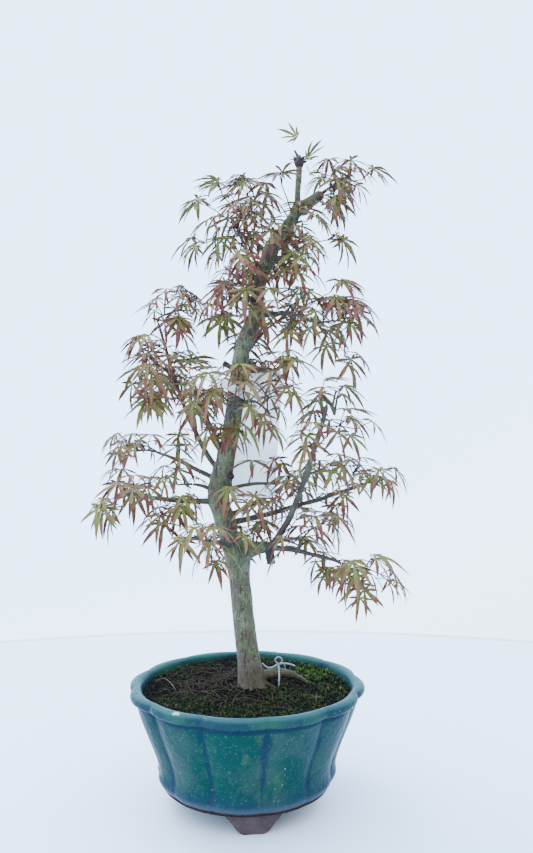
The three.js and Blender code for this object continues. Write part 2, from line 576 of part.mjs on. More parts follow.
// ---------------------------------------------------------------- a leaf mass
// One stem grows from the bough's tip, or from the trunk, towards the middle of the
// mass's space. Shoots leave it by a seeded rule, each with two pairs of leaves, the
// second pair square to the first, and a whorl at its end. What would leave the space
// or touch anything is skipped.
function growMass(row, solidBars, others) {
  const [name, carrier, height, bearing, space, shoots, leafSize, hang, seed] = row;
  const roll = dice(seed);
  const spread = (a) => (roll() * 2 - 1) * a;
  const heart = vec(space[0], space[1], space[2]);
  const room = space.slice(3);
  let root, out, thick;
  if (carrier === "trunk") {
    const axis = trunkAxis(height);
    out = vec(cos(rad(bearing)), sin(rad(bearing)), 0);
    out = unit(plus(out, axis, -axis.dot(out)));
    root = plus(trunkAt(height), out, trunkRadius(height) + GAP);
    thick = 1.2;
  } else {
    const bough = boughs.get(carrier);
    out = unit(minus(bough.tip, bough.at(0.9)));
    root = plus(bough.tip, out, GAP);
    thick = min(bough.thin * 0.92, 1.7);
  }
  const thin = thick * 0.62;
  const toHeart = minus(heart, root);
  const reach = max(13, toHeart.length() * 0.8);
  const stemTip = plus(root, unit(blend(out, unit(toHeart), 0.65)), reach);
  const stemBend = plus(root, out, reach * 0.4);
  const twigs = [{ from: root, bend: stemBend, to: stemTip, thick, thin }];
  const leaves = [];

  const far = max(...room) + 30;
  const near = [...solidBars, ...others].filter(([a, b]) => blend(a, b, 0.5).distanceTo(heart) < far);
  const own = []; // the bars of this mass so far
  const isClear = (bars, things, clearance) =>
    bars.every(([p, q, r]) =>
      things.every(([a, b, other]) => {
        const apart = Math.abs(p.x - a.x) + Math.abs(p.y - a.y) + Math.abs(p.z - a.z);
        return apart > 90 || segmentGap(p, q, a, b) >= r + other + clearance;
      }),
    );
  const isInside = (p, grow) => {
    const d = minus(p, heart);
    return (d.x / room[0]) ** 2 + (d.y / room[1]) ** 2 + (d.z / room[2]) ** 2 <= grow * grow;
  };

  function tryLeaf(from, along, turn, terminal) {
    const [side, over] = frameAcross(along);
    for (let attempt = 0; attempt < 14; attempt++) {
      const a = rad(turn + spread(18) + attempt * 37);
      const across = plus(side.clone().multiplyScalar(cos(a)), over, sin(a));
      const lift = plus(along.clone().multiplyScalar(terminal ? 0.9 : 0.45), UP, 0.25);
      const stalkWay = unit(plus(lift, across, terminal ? 0.55 : 1));
      const stalk = leafSize * (0.34 + 0.26 * roll());
      const size = leafSize * (0.82 + 0.3 * roll());
      const droop = min(rad(hang + 46 * roll()), rad(STEEPEST) - Math.asin(stalkWay.z));
      const level = unit(vec(stalkWay.x, stalkWay.y, 0.0001));
      const way = unit(plus(level.multiplyScalar(cos(droop)), UP, -sin(droop)));
      const leaf = layOutLeaf(from, stalkWay, stalk, way, size);
      if (!leaf.tips.slice(1, 4).every((tip) => isInside(tip, 1.06))) continue;
      if (!isClear(leaf.bars, near, CLEARANCE)) continue;
      if (!isClear(leaf.bars, own, -LEAF_OVERLAP)) continue;
      leaves.push(leaf);
      own.push(...leaf.bars);
      return;
    }
  }

  const firstTurn = roll() * 360;
  for (let k = 0; k < shoots; k++) {
    const share = k === shoots - 1 ? 1 : 0.5 + (0.5 * (k + 0.3)) / shoots;
    const from = bow(root, stemBend, stemTip, share);
    let shoot = null;
    for (let attempt = 0; attempt < 6 && !shoot; attempt++) {
      const a = rad(firstTurn + k * 137.5 + attempt * 51 + spread(20));
      const rise = spread(1) * 0.75 + 0.12;
      const stretch = 0.75 + 0.25 * roll();
      const level = sqrt(max(0, 1 - rise * rise)) * stretch;
      const free = room.map((r) => max(3, r - leafSize * 0.8));
      const offset = vec(free[0] * cos(a) * level, free[1] * sin(a) * level, free[2] * rise * stretch);
      const to = plus(plus(heart, offset), UP, leafSize * 0.3);
      const length = to.distanceTo(from);
      if (length < 6) continue;
      const bend = plus(blend(from, to, 0.5), UP, length * 0.16);
      const bars = barsAlong(from, bend, to, thin);
      if (!isClear(bars, near, CLEARANCE)) continue;
      shoot = { from, bend, to, thick: max(thin, TWIG_TIP_RADIUS), thin: TWIG_TIP_RADIUS };
      own.push(...bars);
    }
    if (!shoot) continue;
    twigs.push(shoot);
    const at = (t) => bow(shoot.from, shoot.bend, shoot.to, t);
    const along = (t) => unit(minus(at(min(1, t + 0.05)), at(t - 0.05)));
    let turn = roll() * 180;
    for (const share of LEAF_PAIRS) {
      for (const step of [0, 180]) tryLeaf(at(share), along(share), turn + step, false);
      turn += 90;
    }
    for (const step of [0, 120, 240]) tryLeaf(at(1), along(1), turn + step, true);
  }
  const bars = leaves.flatMap((leaf) => leaf.bars);
  for (const twig of twigs) {
    bars.push(...barsAlong(twig.from, twig.bend, twig.to, max(twig.thick, twig.thin)));
  }
  return { name, twigs, leaves, bars };
}

// Whether each edge has two faces once the points in one cell of a grid are one.
function isClosed(solid, cell, shift) {
  const { vertProperties, triVerts } = solid.getMesh();
  const spotOf = (i) => [0, 1, 2].map((k) => round(vertProperties[3 * i + k] / cell + shift)).join();
  const faces = new Map();
  for (let i = 0; i < triVerts.length; i += 3) {
    const [a, b, c] = [0, 1, 2].map((k) => spotOf(triVerts[i + k]));
    if (a === b || b === c || a === c) continue;
    for (const edge of [[a, b], [b, c], [c, a]]) {
      const ends = edge.sort().join(" ");
      faces.set(ends, (faces.get(ends) ?? 0) + 1);
    }
  }
  return [...faces.values()].every((count) => count === 2);
}

// Twigs and leaves fused, clear of the limbs. Where parts of a mass only just touch,
// so that no closed solid comes out, it is made without one of its leaves.
function massSolid({ twigs, leaves }, swollen) {
  const bars = twigs.map(({ from, bend, to, thick, thin }, i) =>
    bar((t) => bow(from, bend, to, t), (t) => thick + (thin - thick) * t, 3, i === 0 ? 3 : 2),
  );
  const fuse = (kept) => {
    const solid = wasm.Manifold.union([...bars, ...kept.map(leafSolid)]);
    return largest(swollen.reduce((rest, other) => rest.subtract(other), solid).simplify(0.05));
  };
  const isSound = () => WELD_GRIDS.every(([cell, shift]) => isClosed(solid, cell, shift));
  let solid = fuse(leaves);
  for (let i = 0; i < leaves.length && !isSound(); i++) {
    solid = fuse(leaves.filter((leaf) => leaf !== leaves[i]));
  }
  return solid;
}

// ---------------------------------------------------------------- blank tag
function tag() {
  const plate = new THREE.BoxGeometry(TAG_WIDTH, TAG_THICKNESS, TAG_LENGTH);
  plate.translate(0, 0, TAG_LENGTH / 2).rotateY(rad(TAG_TURN)).rotateX(rad(TAG_LEAN));
  plate.translate(...TAG_FOOT);
  const { x, y, radius, low, height } = TAG_BAND;
  const ring = new THREE.Shape().absarc(0, 0, radius + TAG_THICKNESS, 0, 2 * Math.PI, false);
  ring.holes.push(new THREE.Path().absarc(0, 0, radius, 0, 2 * Math.PI, true));
  const band = new THREE.ExtrudeGeometry(ring, { depth: height, curveSegments: 9, bevelEnabled: false });
  band.translate(x, y, low);
  return largest(solidOf(plate).add(solidOf(band)));
}

// ---------------------------------------------------------------- the plant
const FINISHES = {
  glaze: { color: 0x2f6a72, roughness: 0.25, metalness: 0 },
  clay: { color: 0x6b5a5c, roughness: 0.9, metalness: 0 },
  soil: { color: 0x33302a, roughness: 1, metalness: 0 },
  bark: { color: 0x6f7d6a, roughness: 0.85, metalness: 0 },
  leaf: { color: 0x8f8f52, roughness: 0.6, metalness: 0 },
  card: { color: 0xf2f4f2, roughness: 0.5, metalness: 0 },
};

const plant = new THREE.Group();
function place(name, geometry, finish) {
  const mesh = new THREE.Mesh(geometry, new THREE.MeshStandardMaterial(FINISHES[finish]));
  mesh.name = name;
  plant.add(mesh);
}

layOutBoughs();
place("pot", bowl(), "glaze");
place("soil", soil(), "soil");
for (const [name, turn] of Object.entries(FOOT_TURNS)) place(name, foot(turn), "clay");
place("trunk", geometryOf(trunk()), "bark");
const { solids, swollen } = boughSolids();
for (const [name, solid] of solids) place(name, geometryOf(solid), "bark");
place("tag", geometryOf(tag()), "card");
const solidBars = obstacles();
const otherMasses = [];
for (const row of MASSES) {
  const mass = growMass(row, solidBars, otherMasses);
  otherMasses.push(...mass.bars);
  place(mass.name, geometryOf(massSolid(mass, swollen)), "leaf");
}

export default plant;
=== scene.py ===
# %% [markdown]
# # A potted Japanese maple bonsai
#
# The finished plant is about 58 cm tall: a curved grey-green trunk, thin boughs with
# airy tufts of young leaves, a twelve-lobed bowl with a blue-green glaze on three
# unglazed clay feet, dark soil with moss and fine roots, a twist of wire at the foot of
# the trunk, and a blank white tag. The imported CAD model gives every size, and this
# script dresses it. Lengths are in millimetres, as in a workshop drawing, and are
# turned to metres only where a mesh is made.

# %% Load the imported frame
import math

import bmesh
import bpy
import numpy as np
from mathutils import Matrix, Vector, noise


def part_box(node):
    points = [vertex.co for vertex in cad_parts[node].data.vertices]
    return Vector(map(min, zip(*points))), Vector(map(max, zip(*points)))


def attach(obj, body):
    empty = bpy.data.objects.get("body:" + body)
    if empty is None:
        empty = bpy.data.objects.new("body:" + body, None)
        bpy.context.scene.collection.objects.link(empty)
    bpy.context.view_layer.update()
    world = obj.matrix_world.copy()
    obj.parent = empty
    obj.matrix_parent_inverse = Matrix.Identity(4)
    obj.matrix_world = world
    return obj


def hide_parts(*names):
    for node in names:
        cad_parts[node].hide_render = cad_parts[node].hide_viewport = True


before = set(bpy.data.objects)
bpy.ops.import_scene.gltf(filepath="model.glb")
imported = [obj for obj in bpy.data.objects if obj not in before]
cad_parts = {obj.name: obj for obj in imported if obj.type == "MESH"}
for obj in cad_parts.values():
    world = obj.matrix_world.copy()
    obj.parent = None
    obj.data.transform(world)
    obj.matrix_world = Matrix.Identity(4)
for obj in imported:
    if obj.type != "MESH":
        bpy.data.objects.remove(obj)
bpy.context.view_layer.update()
MM = 0.001

# %% [markdown]
# ## Camera, light and floor
#
# The camera looks level across the bowl's rim from 62 cm away, so the rim reads as a
# flat ellipse and the crown is seen slightly from below. The plant stands on a white
# table before a bright white sweep. Light comes from behind, above and the left, and
# the room behind the camera is dim: a world whose strength falls off from one side does
# that, and a soft lamp up on the left draws the faint shadow under the bowl.

# %% Camera
LENS = 30  # mm, on a frame 36 mm tall
CAMERA_PLACE = (0, -618, 281)
CAMERA_PITCH = 3.1  # degrees above level
CAMERA_YAW = 1.54  # degrees towards the right


def link(name, data):
    """A new object in the scene."""
    made = bpy.data.objects.new(name, data)
    bpy.context.collection.objects.link(made)
    return made


camera = link("camera", bpy.data.cameras.new("camera"))
camera.data.lens = LENS
camera.location = Vector(CAMERA_PLACE) * MM
camera.rotation_euler = (math.radians(90 + CAMERA_PITCH), 0, math.radians(-CAMERA_YAW))
bpy.context.scene.camera = camera
print("camera at", [round(v, 3) for v in camera.location], "m")


# %% Colours and nodes
def linear(hex_colour):
    """The linear RGBA of an sRGB colour such as "#2f6a72"."""
    channels = [int(hex_colour[i : i + 2], 16) / 255 for i in (1, 3, 5)]
    return [c / 12.92 if c <= 0.04045 else ((c + 0.055) / 1.055) ** 2.4 for c in channels] + [1.0]


MATH, NOISE, TEXTURE_PLACE = "ShaderNodeMath", "ShaderNodeTexNoise", "ShaderNodeTexCoord"
TIMES, TIMES_PLUS = {"operation": "MULTIPLY"}, {"operation": "MULTIPLY_ADD"}
POSITIVE = {"operation": "ABSOLUTE"}


def add_node(tree, kind, settings=None, inputs=None):
    """One node: its settings by name, and for each input a value or the socket that feeds it."""
    new = tree.nodes.new(kind)
    for name, value in (settings or {}).items():
        setattr(new, name, value)
    for key, value in (inputs or {}).items():
        if isinstance(value, bpy.types.NodeSocket):
            tree.links.new(value, new.inputs[key])
        else:
            new.inputs[key].default_value = linear(value) if str(value).startswith("#") else value
    return new


# %% Sky and lamp
SKY = "#b4d4fb"
ROOM = "#efeee9"
SKY_BRIGHT = 6.7  # behind, above and to the left
SKY_DIM = 0.8  # the room behind the camera
SKY_SIDE = (-0.3, 0.55, 0.78)  # towards the brightest part
LAMP_PLACE = (-700, 500, 1500)
LAMP_TARGET = (0, 0, 250)
LAMP_SIZE = 900
LAMP_POWER = 26  # watts

world = bpy.data.worlds.new("bright sweep and dim room")
bpy.context.scene.world = world
world.use_nodes = True
tree = world.node_tree
looking = add_node(tree, TEXTURE_PLACE).outputs["Generated"]
facing = add_node(tree, "ShaderNodeVectorMath", {"operation": "DOT_PRODUCT"}, {0: looking, 1: SKY_SIDE})
bright = facing.outputs["Value"]
sky = tree.nodes["Background"]
limits = {"Value": bright, "From Min": -0.45, "From Max": 0.4, "To Min": SKY_DIM, "To Max": SKY_BRIGHT}
strength = add_node(tree, "ShaderNodeMapRange", {"interpolation_type": "SMOOTHSTEP"}, limits)
warmth = add_node(tree, "ShaderNodeMapRange", inputs={"Value": bright, "From Min": -0.5, "From Max": 0.5})
tone = {0: warmth.outputs[0], 6: ROOM, 7: SKY}
tone = add_node(tree, "ShaderNodeMix", {"data_type": "RGBA"}, tone)
tree.links.new(strength.outputs[0], sky.inputs["Strength"])
tree.links.new(tone.outputs[2], sky.inputs["Color"])

lamp = link("soft lamp", bpy.data.lights.new("soft lamp", "AREA"))
lamp.data.size = LAMP_SIZE * MM
lamp.data.energy = LAMP_POWER
lamp.location = Vector(LAMP_PLACE) * MM
lamp.rotation_euler = (lamp.location - Vector(LAMP_TARGET) * MM).to_track_quat("Z", "Y").to_euler()
print("sky strength", SKY_DIM, "to", SKY_BRIGHT, "and a lamp of", LAMP_POWER, "W")


# %% Meshes and materials
class Skin:
    """A material with one Principled shader, painted in layers by object coordinates.

    The surroundings are six times as bright as white paper would be in shade, so mirror
    reflections are turned down from the usual 0.5 or they would hide every dark colour.
    """

    def __init__(self, name, roughness, colour="#808080", specular=0.12, **inputs):
        self.material = bpy.data.materials.new(name)
        self.material.use_nodes = True
        self.tree = self.material.node_tree
        self.shader = self.tree.nodes["Principled BSDF"]
        self.place = add_node(self.tree, TEXTURE_PLACE).outputs["Object"]
        self.set("Base Color", linear(colour))
        self.set("Roughness", roughness)
        self.set("Specular IOR Level", specular)
        for key, value in inputs.items():
            self.set(key.replace("_", " "), value)

    def set(self, key, value):
        self.shader.inputs[key].default_value = value

    def feed(self, key, socket):
        self.tree.links.new(socket, self.shader.inputs[key])

    def layered(self, ground, layers):
        """Colours laid over a ground: each shows where its pattern rises from low to high."""
        for pattern, low, high, strength, colour in layers:
            limits = {"Value": pattern, "From Min": low, "From Max": high, "To Max": strength}
            share = add_node(self.tree, "ShaderNodeMapRange", {"interpolation_type": "SMOOTHSTEP"}, limits)
            colours = {0: share.outputs[0], 6: ground, 7: colour}
            ground = add_node(self.tree, "ShaderNodeMix", {"data_type": "RGBA"}, colours).outputs[2]
        return ground

    def paint(self, ground, layers):
        self.feed("Base Color", self.layered(ground, layers))


def add_mesh(name, points, faces, skin, smooth=True):
    """An object at the origin whose mesh has these points, given in millimetres."""
    mesh = bpy.data.meshes.new(name)
    mesh.from_pydata(np.asarray(points) * MM, [], faces)
    mesh.polygons.foreach_set("use_smooth", [smooth] * len(mesh.polygons))
    mesh.materials.append(skin.material)
    return link(name, mesh)


def dress(piece, slot, *nodes):
    """Fix a piece to the plant in place of these CAD nodes."""
    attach(piece, "root")
    if nodes:
        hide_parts(*nodes)
    print(piece.name, "-", len(piece.data.polygons), "faces")


def round_the_circle(count):
    return np.linspace(0, 2 * np.pi, count, endpoint=False)


# %% Table
TABLE_RADIUS = 1226
TABLE_CENTRE = (0, -633)
TABLE_SIDES = 256
EDGE_WIDTH = 22  # of the pale wooden edge, a little wider than the painted top

table_paint = Skin("matt white table paint", 0.75, "#e2ecf4")
edge_wood = Skin("pale wooden table edge", 0.6, "#dcd8cc")
for name, radius, high, skin in (
    ("table", TABLE_RADIUS, 0, table_paint),
    ("table_edge", TABLE_RADIUS + EDGE_WIDTH, -1, edge_wood),
):
    turns = round_the_circle(TABLE_SIDES)
    rim_x = TABLE_CENTRE[0] + radius * np.cos(turns)
    rim_y = TABLE_CENTRE[1] + radius * np.sin(turns)
    rim = np.stack([rim_x, rim_y, np.full(TABLE_SIDES, high)], axis=1)
    add_mesh(name, rim, [tuple(range(TABLE_SIDES))], skin)
print("table of", 2 * TABLE_RADIUS, "mm")

# %% [markdown]
# ## The bowl
#
# The real bowl is thrown stoneware whose wall was pressed into twelve soft lobes while
# the clay was wet: here a lathe form with a groove pushed in at each lobe's edge. The
# section is a smooth curve through a few radii and heights, and each point on it has
# its own share of the groove's depth, most on the wall and less on the rolled lip and
# the base band. It closes on itself through the drain hole.

# %% Bowl sizes
LOBES = 12
FIRST_GROOVE = 9  # degrees from the front, towards the right
GROOVE_DEPTH = 4.2
BOWL_STEPS = 384  # round the bowl
ROWS_BETWEEN = 6  # between two points of the section
RIM_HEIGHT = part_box("pot")[1][2] / MM
FOOT_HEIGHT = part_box("pot")[0][2] / MM

# radius, height, share of the groove's depth: the base, the outside and the lip
BOWL_OUTSIDE = [
    (9, FOOT_HEIGHT, 0), (65, FOOT_HEIGHT, 0.1), (69.5, FOOT_HEIGHT + 1.2, 0.2),
    (73.2, FOOT_HEIGHT + 4.5, 0.35), (75.4, FOOT_HEIGHT + 9, 0.5), (75, FOOT_HEIGHT + 14, 0.6),
    (75.6, FOOT_HEIGHT + 19, 0.7), (78, 44, 0.85), (82, 54, 0.95), (87.4, 67, 1), (91.6, 78, 1),
    (94, 86, 1), (94.8, 89.2, 1), (97, 90.2, 1), (99.3, 91.8, 1), (99.8, 94.6, 1), (98.4, 97, 0.9),
    (95.4, RIM_HEIGHT, 0.6),
]
BOWL_INSIDE = [
    (92, RIM_HEIGHT - 0.3, 0.3), (89.4, RIM_HEIGHT - 2.2, 0.15), (88.2, RIM_HEIGHT - 5, 0),
    (86.5, 84, 0), (78, 60, 0), (66, 34, 0), (9, FOOT_HEIGHT + 8, 0),
]


# %% Bowl mesh
def smooth_rows(rows, between):
    """Rows of numbers joined by a smooth curve, with extra rows between each two."""
    rows = np.array(rows, float)
    padded = np.vstack([2 * rows[0] - rows[1], rows, 2 * rows[-1] - rows[-2]])
    made = []
    for a, b, c, d in zip(padded, padded[1:], padded[2:], padded[3:]):
        for t in np.arange(between) / between:
            near = -0.5 * a + 1.5 * b - 1.5 * c + 0.5 * d
            wide = a - 2.5 * b + 2 * c - 0.5 * d
            made.append(near * t**3 + wide * t**2 + 0.5 * (c - a) * t + b)
    return np.array(made + [rows[-1]])


def groove_share(angle):
    """1 in a groove and 0 on the middle of a lobe, at an angle from the front."""
    swing = np.abs(np.sin((angle - math.radians(FIRST_GROOVE)) * LOBES / 2))
    return 1 - np.sqrt(swing**1.3 + 0.002)


def ring_faces(rows, columns):
    """Quads of a grid of rows that each run once round, the last joined to the first."""
    faces = []
    for r in range(rows):
        low, high = r * columns, ((r + 1) % rows) * columns
        for c in range(columns):
            d = (c + 1) % columns
            faces.append((low + c, low + d, high + d, high + c))
    return faces


section = smooth_rows(BOWL_OUTSIDE + BOWL_INSIDE, ROWS_BETWEEN)
around = round_the_circle(BOWL_STEPS)
radius, height, share = (section[:, k][:, None] for k in range(3))
wobble = 0.25 * np.sin(3 * around + 0.8) + 0.2 * np.sin(5 * around)
bowl_radius = radius - share * (GROOVE_DEPTH * groove_share(around) + np.abs(wobble))[None]
bowl_z = np.broadcast_to(height, bowl_radius.shape)
bowl_points = np.stack([bowl_radius * np.sin(around), -bowl_radius * np.cos(around), bowl_z], axis=2)
bowl_faces = ring_faces(len(section), BOWL_STEPS)
print("bowl:", len(bowl_faces), "quads")

# %% [markdown]
# The glaze is a variegated copper and cobalt stoneware glaze. It runs while it melts,
# so its colour drifts down the wall in long soft streaks, it breaks to a paler
# blue-green on the lobes, and it pools dark blue in the grooves. A dark line of painted shadow lies under
# the lip.
# Small pale flecks of lime scatter over it, and it is glossy with a faint orange peel.

# %% Glaze patterns
glaze = Skin("variegated copper cobalt glaze", 0.3, specular=0.13, IOR=1.18)
tree = glaze.tree
side, back, up = add_node(tree, "ShaderNodeSeparateXYZ", inputs={0: glaze.place}).outputs
front = add_node(tree, MATH, TIMES, {0: back, 1: -1.0}).outputs[0]
angle = add_node(tree, MATH, {"operation": "ARCTAN2"}, {0: side, 1: front}).outputs[0]
half_lobes, first = LOBES / 2, -math.radians(FIRST_GROOVE) * LOBES / 2
turned = add_node(tree, MATH, TIMES_PLUS, {0: angle, 1: half_lobes, 2: first}).outputs[0]
swing = add_node(tree, MATH, {"operation": "SINE"}, {0: turned}).outputs[0]
lobe = add_node(tree, MATH, POSITIVE, {0: swing}).outputs[0]
runs = add_node(tree, "ShaderNodeMapping", inputs={"Vector": glaze.place, "Scale": (1, 1, 0.3)}).outputs[0]
inputs = {"Vector": runs, "Scale": 1 / (13 * MM), "Detail": 5, "Distortion": 0.6}
streaks = add_node(tree, NOISE, inputs=inputs).outputs[0]
inputs = {"Vector": glaze.place, "Scale": 1 / (36 * MM), "Detail": 4, "Distortion": 0.4}
clouds = add_node(tree, NOISE, inputs=inputs).outputs[0]
inputs = {"Vector": glaze.place, "Scale": 1 / (1.6 * MM), "Detail": 4}
grain = add_node(tree, NOISE, inputs=inputs).outputs[0]
spill = add_node(tree, NOISE, inputs={"Vector": runs, "Scale": 1 / (4.5 * MM), "Detail": 4}).outputs[0]
inputs = {"Vector": glaze.place, "Scale": 1 / (3.2 * MM), "Detail": 5, "Roughness": 0.7}
speckle = add_node(tree, NOISE, inputs=inputs).outputs[0]
peel = add_node(tree, NOISE, inputs={"Vector": glaze.place, "Scale": 1 / (5 * MM), "Detail": 3}).outputs[0]
fleck_inputs = {"Vector": glaze.place, "Scale": 1 / (11 * MM)}
flecks = add_node(tree, "ShaderNodeTexVoronoi", inputs=fleck_inputs).outputs["Distance"]
# a groove is where the lobe's swing is small, and the edges of all zones are frayed
frayed = add_node(tree, MATH, TIMES_PLUS, {0: streaks, 1: 0.7, 2: lobe}).outputs[0]
ragged = add_node(tree, MATH, TIMES_PLUS, {0: clouds, 1: 16 * MM, 2: up}).outputs[0]
# painted shadow: a dark line along the lip's lower edge, where the lip shades the wall; it wavers a little
LIP_EDGE = 90.2
edge = add_node(tree, MATH, TIMES_PLUS, {0: streaks, 1: 5 * MM, 2: up}).outputs[0]
over_edge = add_node(tree, MATH, {"operation": "SUBTRACT"}, {0: edge, 1: LIP_EDGE * MM}).outputs[0]
off_lip_shadow = add_node(tree, MATH, POSITIVE, {0: over_edge}).outputs[0]

# %% Glaze colours
# bearing from the front, height and size of small chips that show the pale body
CHIPS = [(9, 87, 3.2), (38, 88.5, 2.6), (-33, 97.6, 3), (56, 92, 2), (-25, 62, 1.6), (20, 55, 1.8)]

layers = [
    (clouds, 0.44, 0.64, 1, "#28423d"),
    (streaks, 0.52, 0.72, 0.75, "#2d4c3a"),
    (speckle, 0.52, 0.72, 0.42, "#3f5148"),
    (speckle, 0.46, 0.34, 0.5, "#172836"),
    # painted shade: darker and bluer towards the right, away from the lamp, and darker towards the left,
    # to tone down the sheen of the bright sky there
    (side, 20 * MM, 80 * MM, 0.5, "#1e2f40"),
    (side, -30 * MM, -85 * MM, 0.6, "#14292f"),
    (streaks, 0.42, 0.26, 0.6, "#1d3538"),
    (frayed, 0.66, 0.34, 0.85, "#18273a"),
    # blue where the glaze is thick, at the foot of the wall and on the lip
    (ragged, 50 * MM, 28 * MM, 0.75, "#222f40"),
    (ragged, 93 * MM, 99 * MM, 0.85, glaze.layered("#20343c", [(clouds, 0.42, 0.6, 1, "#26483f")])),
    # painted highlight: paler along the top of the lip, where the light from above falls
    (up, 95.5 * MM, 97.8 * MM, 0.7, "#355856"),
    (grain, 0.58, 0.76, 0.4, "#4f746c"),
    # painted shadow: the dark line under the lip
    (off_lip_shadow, 2.4 * MM, 0.9 * MM, 0.8, "#162339"),
    (spill, 0.68, 0.8, 0.45, "#6d5f4e"),
    (flecks, 0.05, 0.04, 0.6, "#8d9a94"),
    # thin and pale at the bottom edge, and bare clay under it
    (up, 27 * MM, 21.5 * MM, 0.35, "#55616a"),
    (up, 20.6 * MM, 19.8 * MM, 1, "#3a2c2e"),
]
outside_radius, outside_height, _ = zip(*BOWL_OUTSIDE)
for bearing, high, size in CHIPS:
    radius = np.interp(high, outside_height, outside_radius)
    a = math.radians(bearing)
    spot = Vector((radius * math.sin(a), -radius * math.cos(a), high)) * MM
    away = add_node(tree, "ShaderNodeVectorMath", {"operation": "DISTANCE"}, {0: glaze.place, 1: spot})
    inputs = {0: spill, 1: 6 * MM, 2: away.outputs["Value"]}
    torn = add_node(tree, MATH, TIMES_PLUS, inputs).outputs[0]
    layers.append((torn, (size + 2.6) * MM, (size + 2.2) * MM, 0.9, "#a9aba2"))
glaze.paint("#0c3a34", layers)
glaze.feed("Roughness", add_node(tree, MATH, TIMES_PLUS, {0: streaks, 1: 0.2, 2: 0.2}).outputs[0])
inputs = {"Height": peel, "Distance": 0.7 * MM}
relief = add_node(glaze.tree, "ShaderNodeBump", inputs=inputs).outputs[0]
glaze.feed("Normal", relief)
bowl = add_mesh("glazed_bowl", bowl_points.reshape(-1, 3), bowl_faces, glaze)
dress(bowl, "glaze", "pot")

# %% [markdown]
# ## Three clay feet
#
# The feet are tongues of unglazed stoneware that were cut by hand and luted on, wide
# where they carry the bowl and curving in to a narrow tread. A bevelled extrusion of
# that outline looks like fired clay: matt, purple-brown and speckled with sand.

# %% Feet
FOOT_WIDTH = 46
FOOT_TREAD = 13
FOOT_DEPTH = 16
FOOT_OUT = 64
FOOT_SLOPE = 3
FOOT_BEVEL = 3.4
FOOT_STEPS = 14
FOOT_TURNS = {"foot_front": 5, "foot_right": 125, "foot_left": 245}  # degrees from the front

clay = Skin("unglazed purple stoneware", 0.85)
inputs = {"Vector": clay.place, "Scale": 1 / (1.1 * MM), "Detail": 5}
sand = add_node(clay.tree, NOISE, inputs=inputs).outputs[0]
inputs = {"Vector": clay.place, "Scale": 1 / (14 * MM), "Detail": 3}
firing = add_node(clay.tree, NOISE, inputs=inputs).outputs[0]
clay.paint("#44373c", [(firing, 0.35, 0.65, 1, "#5a4747"), (sand, 0.58, 0.7, 0.5, "#7a6a66")])
inputs = {"Height": sand, "Distance": 0.4 * MM}
relief = add_node(clay.tree, "ShaderNodeBump", inputs=inputs).outputs[0]
clay.feed("Normal", relief)


def foot_side(a, b, c, d):
    """Points of a curve from a to d that heads for b and arrives from c."""
    a, b, c, d = (np.array(p, float) for p in (a, b, c, d))
    inner = [
        a * (1 - t) ** 3 + 3 * b * t * (1 - t) ** 2 + 3 * c * t * t * (1 - t) + d * t**3
        for t in np.arange(FOOT_STEPS) / FOOT_STEPS
    ]
    return inner + [d]


half, tread, knee = FOOT_WIDTH / 2, FOOT_TREAD / 2, FOOT_HEIGHT * 0.4
foot_outline = foot_side((tread, 0), (tread + 6, 0.5), (half - 9, knee), (half, FOOT_HEIGHT))
foot_outline += foot_side((-half, FOOT_HEIGHT), (9 - half, knee), (-tread - 6, 0.5), (-tread, 0))

for name, turn in FOOT_TURNS.items():
    shape = bmesh.new()
    front_edge, back_edge = [], []
    for along, high in foot_outline:
        out = FOOT_OUT - FOOT_SLOPE * (1 - high / FOOT_HEIGHT)
        front_edge.append(shape.verts.new((along, -out, high)))
        back_edge.append(shape.verts.new((along, FOOT_DEPTH - out, high)))
    shape.faces.new(front_edge)
    shape.faces.new(back_edge[::-1])
    for i in range(len(foot_outline)):
        shape.faces.new((front_edge[i], front_edge[i - 1], back_edge[i - 1], back_edge[i]))
    rims = [e for face in list(shape.faces)[:2] for e in face.edges]
    rims = [e for e in rims if max(v.co.z for v in e.verts) < FOOT_HEIGHT - 0.1]
    bmesh.ops.bevel(shape, geom=rims, offset=FOOT_BEVEL, segments=3, affect="EDGES", profile=0.5)
    a = math.radians(turn)
    for v in shape.verts:
        x, y = v.co.x, v.co.y
        v.co = Vector((x * math.cos(a) - y * math.sin(a), x * math.sin(a) + y * math.cos(a), v.co.z)) * MM
    bmesh.ops.recalc_face_normals(shape, faces=shape.faces)
    mesh = bpy.data.meshes.new("clay_" + name)
    shape.to_mesh(mesh)
    shape.free()
    mesh.materials.append(clay.material)
    dress(link("clay_" + name, mesh), "clay", name)

# %% [markdown]
# ## The growth rule
#
# The trunk is a smooth curve through its bends. Each bough is one bow from its carrier
# to its tip. Each tuft of leaves starts with one stem from a bough's tip; shoots leave
# the stem by a seeded rule, with two pairs of leaves and a whorl of three at the end, as
# a maple grows. It is the solids' own rule with the same seeds, in double precision, so
# the leaves here grow in the places of the solids' leaves.

# %% Trunk and bough sizes
GAP = 0.3
ROOT_CROWN = 92  # where the trunk's middle line begins, a little under the soil
TRUNK_FOOT_RADIUS = 9.4
TRUNK_TIP_RADIUS = 4.7
TAPER = 1.5
FLARE = 5.8
FLARE_HEIGHT = 9
TRUNK_BENDS = [
    (4.2, -6, ROOT_CROWN), (-3, -2.5, 150), (-9, 2, 196), (-24.5, 6, 252), (-21, 6, 275),
    (-14.6, 3.5, 310), (-9.5, -2.5, 345), (-4.6, -3.5, 380), (6.5, 3, 411), (12, 6, 447),
    (25, 3, 478), (47, 0, 509.5),
]
TRUNK_TIP = TRUNK_BENDS[-1][2]
# height, extra radius, half-length
COLLARS = [(198, 0.5, 9), (262, 1.0, 15), (397, 1.3, 9), (460, 0.8, 11)]
# bearing, reach, radius at the flare
ROOTS = [(-8, 33, 3.6), (62, 22, 2.8), (150, 24, 3.2), (205, 31, 3.0), (268, 24, 3.4), (318, 22, 2.8)]
